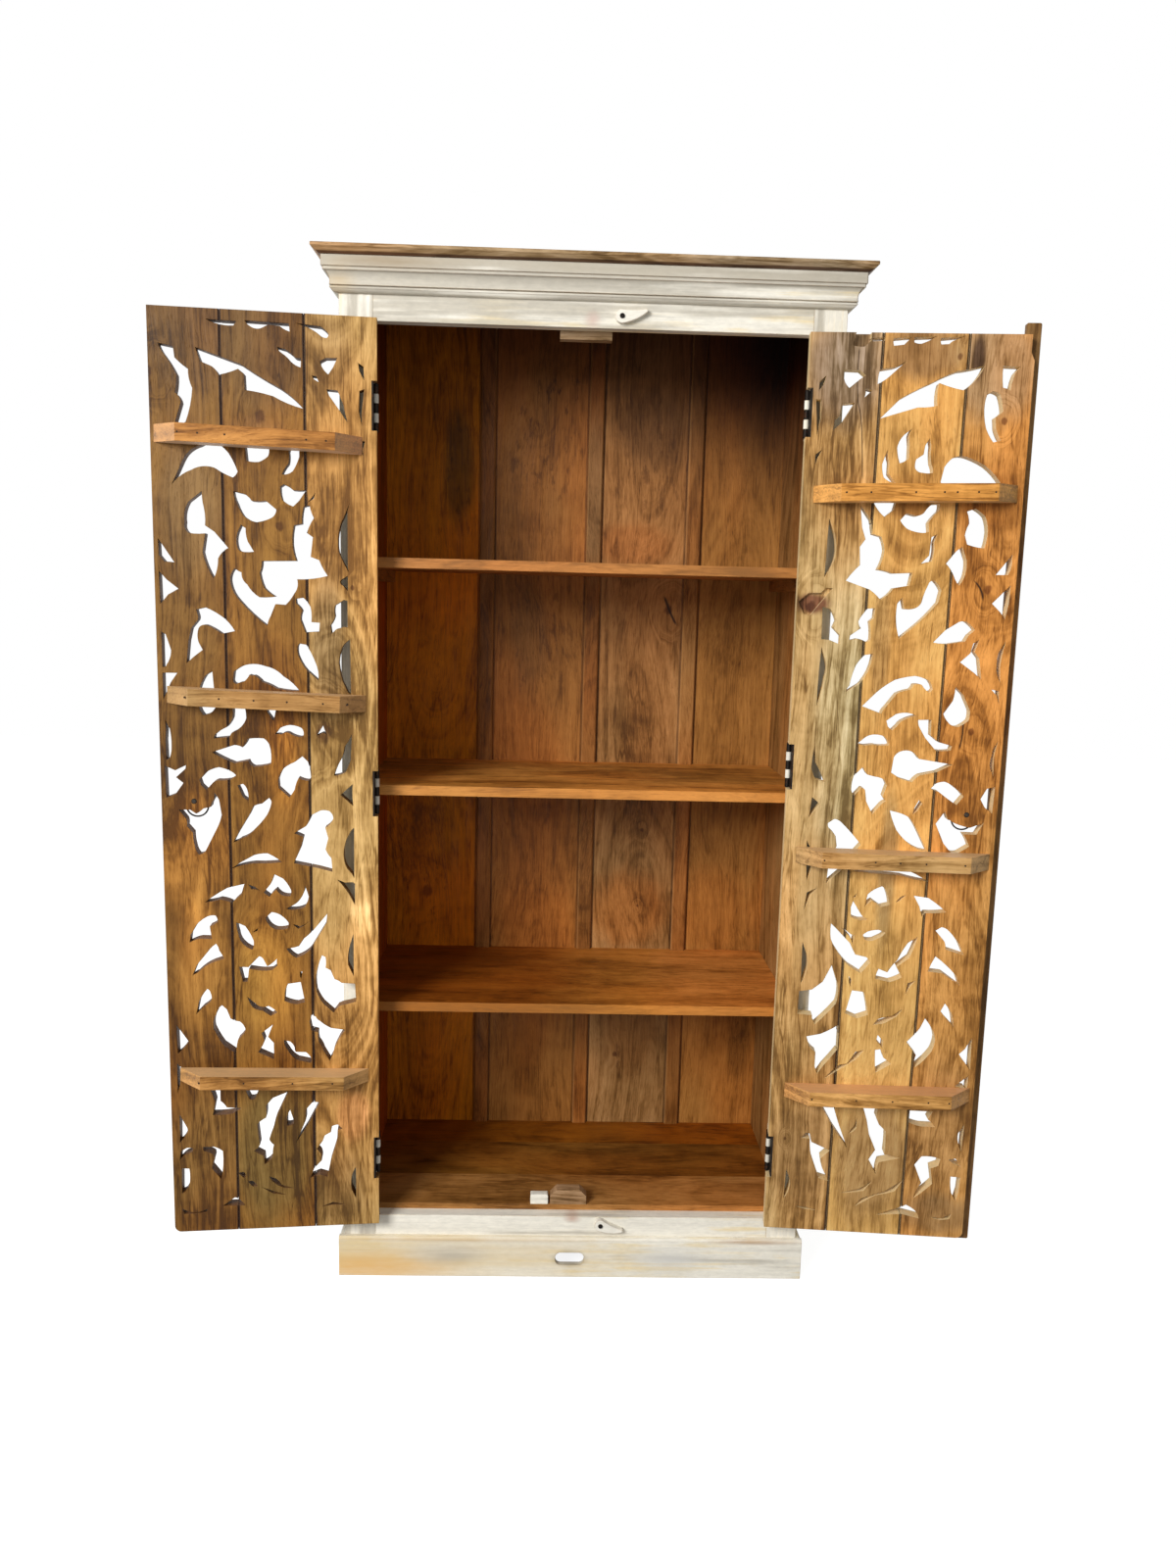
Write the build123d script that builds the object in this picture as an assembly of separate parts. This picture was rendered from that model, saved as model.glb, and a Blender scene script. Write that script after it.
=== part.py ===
from build123d import *
import math
import os

# A tall book cabinet with two pierced plank doors, shown with both doors swung open.
# Millimetres.  X runs to the right, Y runs into the cabinet, Z runs up.
# The origin lies on the floor, in the middle of the face frame's front plane.

# ---------------------------------------------------------------- case
total_height = 1857.0
carcass_width = 864.0
carcass_depth = 403.0
frame_thick = 25.0        # face frame: stiles, lintel and bottom rail
stile_width = 57.0
lintel_height = 98.5
rail_top = 119.0
rail_height = 47.0
side_thick = 25.0
side_board_widths = (112.0, 113.0)   # front and middle board, the third takes the rest

top_thick = 15.0
top_overhang = 40.0
top_bevel_in = 12.0       # its lower edge is cut back, on the front and on both ends
top_bevel_up = 9.5
top_arris = 2.0

plinth_height = 79.0
plinth_thick = 11.0
plinth_chamfer = 4.0
vent_width = 55.0
vent_height = 25.0
vent_corner = 10.0
vent_centre_x = -3.5
vent_centre_z = 37.5

# cornice moulding, measured down from the top board and out from the case
fascia_height = 18.0
fascia_out = 25.5
fillet_height = 5.7
fillet_out = 23.0
cove_height = 21.4
cove_top_out = 20.5
cove_bottom_out = 13.7
cove_hollow = 3.4
groove_height = 1.5
groove_out = 10.0
bead_height = 4.0
bead_out = 11.6
bead_round = 1.6
ovolo_height = 5.2
ovolo_foot_out = 1.2
ovolo_round = 1.8

# ---------------------------------------------------------------- inside
back_thick = 12.0
strip_centres = (-200.0, 20.0, 226.0)
strip_width = 30.0
strip_thick = 8.0
strip_chamfer = 2.5
strip_clearance = 0.5
floor_top = 130.0
floor_thick = 18.0
floor_board_widths = (118.0, 143.0)  # front and middle board, the third takes the rest
shelf_tops = {"upper": 1352.0, "middle": 944.5, "lower": 533.5}
shelf_thick = 18.0
shelf_setback = 26.0
shelf_chip_x = -56.0
shelf_chip_length = 42.0
shelf_chip_depth = 4.0
cleat_width = 18.0
cleat_height = 22.0
cleat_setback = 8.0

upper_stop_left = -58.0
upper_stop_width = 90.0
upper_stop_drop = 14.5
upper_stop_lap = 46.0
stop_depth = 22.0
lower_stop_left = -43.0
lower_stop_width = 70.0
lower_stop_height = 30.0
lower_stop_clip = 13.0
catch_width = 34.0
catch_height = 19.0
catch_depth = 18.0
catch_corner = 3.0
catch_spacing = 4.0

# ---------------------------------------------------------------- doors
leaf_thick = 24.0
hinge_gap = 2.9
meeting_gap = 2.8
leaf_gap_bottom = 1.0
leaf_gap_top = 1.5
leaf_corner = 12.0
seam_gap = 1.0
left_seams = ((116.0, 119.5), (255.5, 255.0))    # across the leaf, at its bottom and top
right_seams = ((115.5, 121.5), (252.5, 264.0))
right_leaf_lean = 3.0     # the right leaf is this much wider at the top
chip_width = 6.0
chip_height = 42.0
left_open_angle = 174.2
right_open_angle = 174.65

# The seams, battens, hinges, rings and fretwork are drawn on a leaf of this size, and
# follow the leaf's own size from there.
drawing_heights = (120.0, 1742.0)
left_drawing_widths = (369.3, 369.3)             # at the bottom and at the top
right_drawing_widths = (370.0, 382.0)

batten_depth = 42.0
nail_radius = 1.6
nail_grip = 10.0
nail_clearance = 0.02
# name: hinge end, free end, height of the top at mid length, thickness, lean in degrees, nails
left_battens = {
    "upper": (24.4, 363.9, 1551.5, 29.0, 1.2, (81, 113, 243, 286, 318)),
    "middle": (20.0, 355.0, 1118.0, 29.0, 2.0, (50, 90, 150, 205, 262, 318)),
    "lower": (18.0, 352.0, 432.5, 25.0, 1.9, (80, 150, 235, 312)),
}
right_battens = {
    "upper": (18.0, 362.0, 1493.5, 29.0, 1.2, (69, 110, 184, 231, 252, 287, 315)),
    "middle": (22.0, 364.0, 858.0, 29.0, 0.0, (68, 157, 200, 245, 312)),
    "lower": (24.0, 362.0, 414.0, 27.0, 1.3, (70, 150, 215, 279, 316)),
}

meeting_strip_left = -14.6
meeting_strip_right = 10.4
meeting_strip_thick = 11.0
meeting_strip_clearance = 0.4
meeting_strip_above = 22.0
meeting_strip_below = 12.0
meeting_strip_corner = 3.0

# ---------------------------------------------------------------- hinges
hinge_length = 80.0
hinge_leaf_thick = 2.8
hinge_notch = 9.0
hinge_end_clearance = 0.5
pin_inset = 5.8           # from the stile's edge towards the middle of the opening
pin_front = 4.8           # in front of the face frame
pin_radius = 1.95
pin_hole_radius = 2.0
pin_head_radius = 3.4
pin_head_height = 2.2
knuckle_radius = 4.5
knuckle_count = 5
knuckle_clearance = 0.4
leaf_start = 1.3          # how far behind the pin the flat leaf starts
left_hinge_heights = (251.0, 938.0, 1600.0)
right_hinge_heights = (262.0, 1002.0, 1611.0)
screw_radius = 1.4
screw_head_radius = 2.9
screw_head_depth = 1.4
screw_grip = 5.5
screw_spacing = 27.0

# ---------------------------------------------------------------- ring pulls and turn buttons
left_ring_place = (315.0, 924.0)
right_ring_place = (318.0, 927.0)
ring_radius = 18.5
ring_wire_radius = 1.5
ring_stand_off = 6.0
ring_clearance = 0.3
rose_radius = 8.0
rose_thick = 1.5
peg_radius = 3.2
peg_head_radius = 4.8     # on the inner face
peg_head_thick = 1.8
peg_reach = 9.0           # from the outer face to the knob that keeps the ring on
knob_radius = 5.4
knob_thick = 3.0

button_radius = 11.5
button_length = 44.0
button_tip = 2.5
button_thick = 11.0
button_clearance = 0.4
button_hollow = 1.8
button_belly = 3.0
button_edge = 0.8
upper_button_place = (46.5, 19.0)    # across, and up from the lintel's lower edge
upper_button_angle = 14.0
lower_button_place = (54.0, 13.5)    # across, and down from the rail's top
lower_button_angle = -14.0
button_screw_radius = 2.0
button_hole_radius = 2.06
button_head_radius = 4.4
button_head_height = 2.4
button_screw_grip = 15.0

# ---------------------------------------------------------------- places worked out from the sizes
case_top = total_height - top_thick
opening_top = case_top - lintel_height
opening_half = carcass_width / 2 - stile_width
case_half = carcass_width / 2
inner_half = case_half - side_thick
back_front = carcass_depth - back_thick
floor_bottom = floor_top - floor_thick
leaf_bottom = rail_top + leaf_gap_bottom
leaf_top = opening_top - leaf_gap_top
leaf_height = leaf_top - leaf_bottom
leaf_width = opening_half - hinge_gap - meeting_gap
knuckle_length = hinge_length / knuckle_count

# The fretwork of the left leaf.  Each outline goes round one hole: across the leaf from its
# hinge edge, height above the floor, and where a side is curved, how far its arc stands
# out of the hole on the way to the next corner.
left_fret = [
    # head of the leaf: slits and small darts
    [(276, 1725), (227, 1724), (232, 1717, 1), (255, 1718, 1)],
    [(214, 1726), (143, 1725), (142, 1712, 1), (158, 1720), (177, 1721), (188, 1715, 2),
     (205, 1717, 1)],
    [(132, 1726), (92, 1723, 1), (79, 1712, 1), (82, 1705, 1), (92, 1708, -1), (112, 1720)],
    [(163, 1687), (150, 1684, 1), (134, 1672, -1), (124, 1671), (125, 1656, 1), (140, 1664, -1),
     (156, 1678, 1)],
    [(93, 1668), (84, 1673), (65, 1674), (72, 1659), (80, 1647, 1), (91, 1660, 1)],
    [(107, 1644), (99, 1643), (96, 1634), (103, 1638)],
    [(83, 1623), (65, 1622), (56, 1600), (49, 1571), (62, 1590), (75, 1608, 1)],
    [(31, 1668), (22, 1662), (21, 1640), (29, 1655)],
    [(29, 1623), (21, 1626), (24, 1600, -1), (25, 1565), (30, 1590)],
    [(30, 1543), (20, 1541), (24, 1528), (23, 1516), (28, 1532)],
    # upper band: two long flames and a crescent
    [(353, 1684), (329, 1680), (327, 1662, -1), (306, 1646, -2), (300, 1615, 2), (312, 1561, 3),
     (329, 1560), (319, 1592, -2), (328, 1607, -1), (325, 1636, -1), (343, 1666, 1)],
    [(294, 1680), (222, 1657, -1), (160, 1622, 2), (121, 1590, 2), (170, 1608, -1), (216, 1616),
     (217, 1642), (226, 1649, 1), (258, 1638, -2), (270, 1652), (286, 1658)],
    [(337, 1459), (318, 1500, 4), (290, 1524, 3), (262, 1529, 1), (244, 1513, 1), (230, 1484, 1),
     (238, 1474, 1), (268, 1489, -4), (305, 1484, -3)],
    [(216, 1546), (218, 1535), (215, 1502, 1), (195, 1501, 1), (180, 1511, 2), (180, 1530, 2),
     (193, 1546)],
    [(141, 1548), (129, 1545), (129, 1512, 1), (140, 1488, 2), (158, 1482, 1), (147, 1500, -1),
     (146, 1520, -1)],
    [(161, 1462), (155, 1466, 1), (140, 1457, -1), (118, 1458), (130, 1440), (140, 1430, 1),
     (158, 1440, 1)],
    [(103, 1454), (108, 1447), (116, 1437), (106, 1444)],
    [(238, 1452), (220, 1448, 1), (208, 1437, -1), (185, 1438), (168, 1424, 2), (176, 1410, 1),
     (200, 1402, 2), (222, 1412, 1), (232, 1432, 1)],
    # the great scroll and its neighbours
    [(113, 1433), (123, 1430, 1), (126, 1402), (139, 1399, 1), (142, 1368, 1), (136, 1340),
     (193, 1338, -1), (197, 1318, 1), (190, 1293, 1), (172, 1279, -1), (198, 1277, -2),
     (218, 1298, -3), (227, 1318, -1), (238, 1325, 2), (246, 1305, 3), (232, 1272, 2),
     (186, 1229, -1), (180, 1246), (172, 1266), (155, 1265, 1), (140, 1285, 3), (135, 1309, 2),
     (84, 1316, -1), (98, 1342), (112, 1347), (108, 1380), (118, 1387, -1), (106, 1412, -1)],
    [(289, 1450), (311, 1432, 3), (318, 1398, 3), (312, 1381, 1), (285, 1381), (290, 1350, 2),
     (273, 1306, 2), (265, 1340, -2), (248, 1358), (270, 1384), (285, 1394, 1), (286, 1422, -1)],
    [(226, 1398), (232, 1385, 2), (233, 1360, 1), (228, 1353, 1), (206, 1353), (216, 1370, -1),
     (219, 1392, -1)],
    [(46, 1439), (50, 1425), (50, 1331), (48, 1322), (57, 1339), (63, 1352, 1), (66, 1372, 1),
     (63, 1396, 1), (57, 1413)],
    [(50, 1317), (50, 1291), (58, 1300, 1), (63, 1306, 1), (58, 1312)],
    [(362, 1371), (336, 1331, -1), (352, 1332), (361, 1343)],
    [(362, 1317), (350, 1303), (331, 1288), (348, 1278), (361, 1262)],
    [(138, 1276), (125, 1278, 1), (113, 1262, 1), (112, 1237), (98, 1236), (99, 1221), (122, 1219),
     (130, 1240, 1), (127, 1256, -1), (137, 1268)],
    [(51, 1275), (57, 1276), (72, 1266, 1), (72, 1248, -1), (80, 1232), (78, 1218), (70, 1226), (57, 1230),
     (51, 1229)],
    [(303, 1254), (288, 1258, 1), (262, 1244, 2), (240, 1219), (262, 1214, -1), (286, 1228, -3),
     (300, 1222, -2), (300, 1198), (294, 1186), (308, 1175), (321, 1163), (317, 1200), (312, 1222),
     (301, 1236, -1), (301, 1246)],
    [(361, 1216), (354, 1211), (346, 1185, 2), (354, 1160, 2), (361, 1156)],
    [(361, 1146), (337, 1146), (348, 1130), (361, 1100)],
    [(279, 1150), (290, 1143, 1), (301, 1120, 1), (302, 1088, 1), (295, 1074, 1), (280, 1081),
     (272, 1092, 1), (277, 1122)],
    [(245, 1135), (243, 1150, 1), (225, 1161, 3), (190, 1160, 3), (160, 1143, 2), (133, 1118, 1),
     (172, 1122, -1), (196, 1133, -1), (209, 1144, 1), (217, 1145, 1), (228, 1132, -1), (238, 1129, 2)],
    [(133, 1200), (121, 1198, 1), (106, 1168, 2), (101, 1137), (120, 1154, 1), (133, 1175, 1),
     (136, 1190, 1)],
    [(47, 1209), (46, 1113), (51, 1117), (60, 1136, 1), (66, 1168, 1), (61, 1193, 1), (52, 1205)],
    # the fish and the leaves round it
    [(247, 1098), (228, 1097, 1), (224, 1070, 1), (233, 1055, 1), (248, 1045, -1), (252, 1037),
     (279, 1034), (278, 1040, 1), (257, 1054, -1), (247, 1070, -1)],
    [(192, 1095), (172, 1095), (176, 1075), (178, 1066), (188, 1080)],
    [(176, 1042), (168, 1053, 1), (150, 1059, 1), (131, 1054, 2), (128, 1040, 1), (135, 1038, 1),
     (152, 1045, -2), (165, 1042, -1)],
    [(105, 1041), (94, 1059, -1), (86, 1041, -1), (95, 1046)],
    [(283, 1010), (245, 1023, 1), (231, 1019, -1), (222, 1034, 1), (195, 1035, 1), (186, 1024, 2),
     (184, 990, 1), (212, 985, 2), (222, 996), (245, 991, 1)],
    [(130, 1004), (121, 995, 1), (116, 970, 2), (121, 961, 1), (137, 966, -1), (144, 945),
     (153, 931), (171, 948), (172, 962, 1), (163, 982, 1), (143, 994)],
    [(359, 1066), (352, 1050, 1), (350, 1018, 1), (354, 999), (359, 996), (360, 1030, -1)],
    [(45, 1044), (47, 998), (56, 976, 1), (76, 970, 1), (64, 998, -1), (57, 1022, -1)],
    [(362, 986), (345, 978), (327, 987), (328, 981), (344, 966), (332, 956), (346, 936), (361, 930)],
    [(305, 962), (292, 976, 1), (272, 984, 1), (252, 977, 1), (243, 969), (252, 963, 1),
     (275, 961, -1), (284, 955), (294, 944), (302, 952)],
    [(241, 952), (232, 955, 1), (225, 945, 1), (223, 925), (232, 931), (238, 945)],
    # behind the ring, and the pipe
    [(341, 909), (322, 909), (312, 902, -1), (300, 911), (287, 914, 1), (281, 928), (280, 939),
     (273, 927), (269, 900, 1), (278, 875), (299, 833, 1), (309, 829, 1), (315, 842, 1),
     (318, 868), (328, 880, -1), (329, 893)],
    [(250, 851), (240, 870), (222, 900), (215, 915, 1), (200, 920), (188, 930, 1), (184, 922, 1),
     (192, 900, 1), (215, 872, 2), (238, 857, 1)],
    [(146, 867), (125, 880, -1), (115, 900), (100, 908, 1), (85, 907, 2), (78, 893, 2), (92, 877),
     (87, 858), (92, 838, -1), (82, 822), (80, 797), (105, 804), (147, 813), (135, 840),
     (130, 860), (138, 864)],
    [(65, 936), (44, 955, -1), (43, 916)],
    [(42, 877), (42, 785), (46, 793), (55, 804, 1), (60, 824, 1), (58, 846, 1), (51, 864, 1)],
    [(257, 802), (238, 815), (215, 828, 1), (192, 831, 1), (167, 815, 1), (215, 813, -2)],
    [(181, 793), (166, 785, 1), (153, 765, 1), (154, 753, 1), (168, 755, 1), (178, 765, -1),
     (190, 752), (200, 760), (188, 775)],
    [(226, 775), (221, 766, -1), (206, 763), (214, 770)],
    [(233, 776), (262, 769, 1), (301, 743, 1), (275, 748, -1), (254, 741, -1), (239, 756)],
    [(128, 772), (122, 752, 1), (129, 733, 1), (145, 728, 1), (162, 730), (150, 736, -1), (137, 747, -2)],
    [(72, 783), (58, 777), (45, 778), (41, 775), (41, 736), (52, 757, -1)],
    # lower band: fins, eye and horn
    [(329, 670), (327, 684), (316, 703, 1), (298, 717, 1), (284, 719, 1), (280, 708, 1), (294, 699),
     (291, 676), (310, 677, -1)],
    [(326, 608), (318, 628), (298, 653, 1), (284, 667, 1), (279, 655), (270, 640), (290, 633, -2),
     (318, 613, -1)],
    [(321, 537), (316, 560, 1), (301, 584, 1), (296, 578, 1), (294, 563, 1), (310, 549)],
    [(276, 553), (268, 545), (262, 528, -1), (246, 522, 2), (236, 505, 1), (250, 487, -1),
     (253, 461), (275, 478, 1), (291, 508, 3), (286, 538, 2)],
    [(248, 706), (233, 699, 1), (219, 672, 1), (221, 655, 1), (236, 665, 2), (245, 685, 1)],
    [(221, 687), (211, 695), (212, 690)],
    [(197, 714), (187, 724, 1), (172, 719, 1), (158, 705, 1), (160, 694, 1), (178, 692, 2), (193, 703, 1)],
    [(150, 701), (141, 693, 1), (118, 709, -1), (138, 697, 1)],
    [(90, 720), (92, 702), (120, 655, 2), (145, 639, 2), (162, 657, -1), (140, 661), (131, 675, -1),
     (108, 698)],
    [(245, 624), (229, 623), (210, 643, 1), (203, 638), (196, 624, -1), (179, 638, -1), (178, 625),
     (188, 617, 1), (212, 617), (228, 620), (231, 596), (239, 596)],
    [(232, 568), (213, 551, -2), (195, 550, 1), (180, 538), (191, 531), (205, 541, 1), (222, 547, 1)],
    [(139, 613), (135, 614), (137, 600), (139, 604)],
    [(160, 591), (138, 594), (131, 556), (145, 552, 1), (167, 559), (166, 574, 1)],
    [(100, 643), (94, 640, 1), (94, 620), (85, 615), (78, 598, 1), (66, 591), (42, 589), (40, 555),
     (55, 551, -1), (72, 546), (80, 535), (98, 552, 1), (110, 575, 1), (111, 605, 1)],
    [(44, 683), (44, 603), (54, 625, 1), (52, 655)],
    [(120, 532), (123, 518), (120, 502), (108, 498, 1), (107, 480, -1), (98, 462), (88, 444),
     (82, 455, -1), (76, 475, -1), (60, 502), (85, 506, -1), (105, 520, -1), (112, 528)],
    [(188, 515), (208, 499), (203, 484, -1), (215, 463), (187, 449), (187, 480), (197, 492)],
    [(169, 485), (158, 482, 1), (150, 470, -1), (148, 462), (130, 461, 1), (120, 447, 1), (122, 440),
     (145, 446, 2), (162, 465, 2)],
    [(356, 518), (336, 487, 1), (340, 480, 1), (355, 463)],
    [(357, 446), (349, 437), (353, 405), (357, 388)],
    # foot of the leaf
    [(303, 400), (283, 400), (283, 372, 1), (272, 359), (246, 357), (262, 347, 1), (297, 345),
     (292, 370, -1)],
    [(239, 396), (213, 396), (222, 374, 1), (231, 373, 1)],
    [(163, 386), (186, 335, 1), (198, 295, -1), (190, 284, -1), (192, 262, 2), (207, 246), (208, 262),
     (226, 273, -1), (215, 284), (219, 325, 1), (203, 337, -1), (203, 360), (190, 375)],
    [(160, 351), (153, 328), (155, 322, 1), (166, 320), (166, 338)],
    [(132, 350), (120, 364, 1), (107, 363), (130, 318), (151, 285), (141, 308), (132, 330)],
    [(66, 311), (74, 319, 1), (85, 316, 1), (87, 305), (98, 299), (102, 288), (113, 273),
     (106, 264, -1), (104, 250), (118, 235), (125, 216), (108, 222), (94, 217), (88, 248),
     (76, 288), (75, 308)],
    [(355, 348), (344, 325, 3), (346, 308, 1), (356, 294)],
    [(355, 277), (345, 283, 1), (333, 282), (335, 276, 1), (345, 271, -1), (357, 260)],
    [(316, 284), (297, 284, 1), (281, 275, 2), (285, 220), (301, 242), (296, 262), (297, 268, -1),
     (315, 276)],
    [(354, 244), (341, 243, 1), (341, 215, 1), (348, 200, 1), (355, 195)],
    [(254, 231), (246, 233, 1), (240, 225, 1), (245, 221)],
    [(237, 214), (230, 215, 1), (220, 204), (228, 203, 1)],
    [(214, 202), (192, 193), (167, 184), (193, 188)],
    [(284, 167), (262, 183, 1), (255, 180, 1), (243, 167)],
    [(199, 222), (188, 218, 1), (177, 205, -1), (151, 197), (172, 198, 1), (190, 209, 1)],
    [(42, 235), (42, 172), (50, 190, 1), (50, 215, 1)],
    [(105, 158), (85, 166, 1), (62, 160), (85, 161)],
    [(355, 164), (340, 158, -1), (322, 158), (309, 163, -1), (313, 155), (352, 154)],
]

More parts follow.
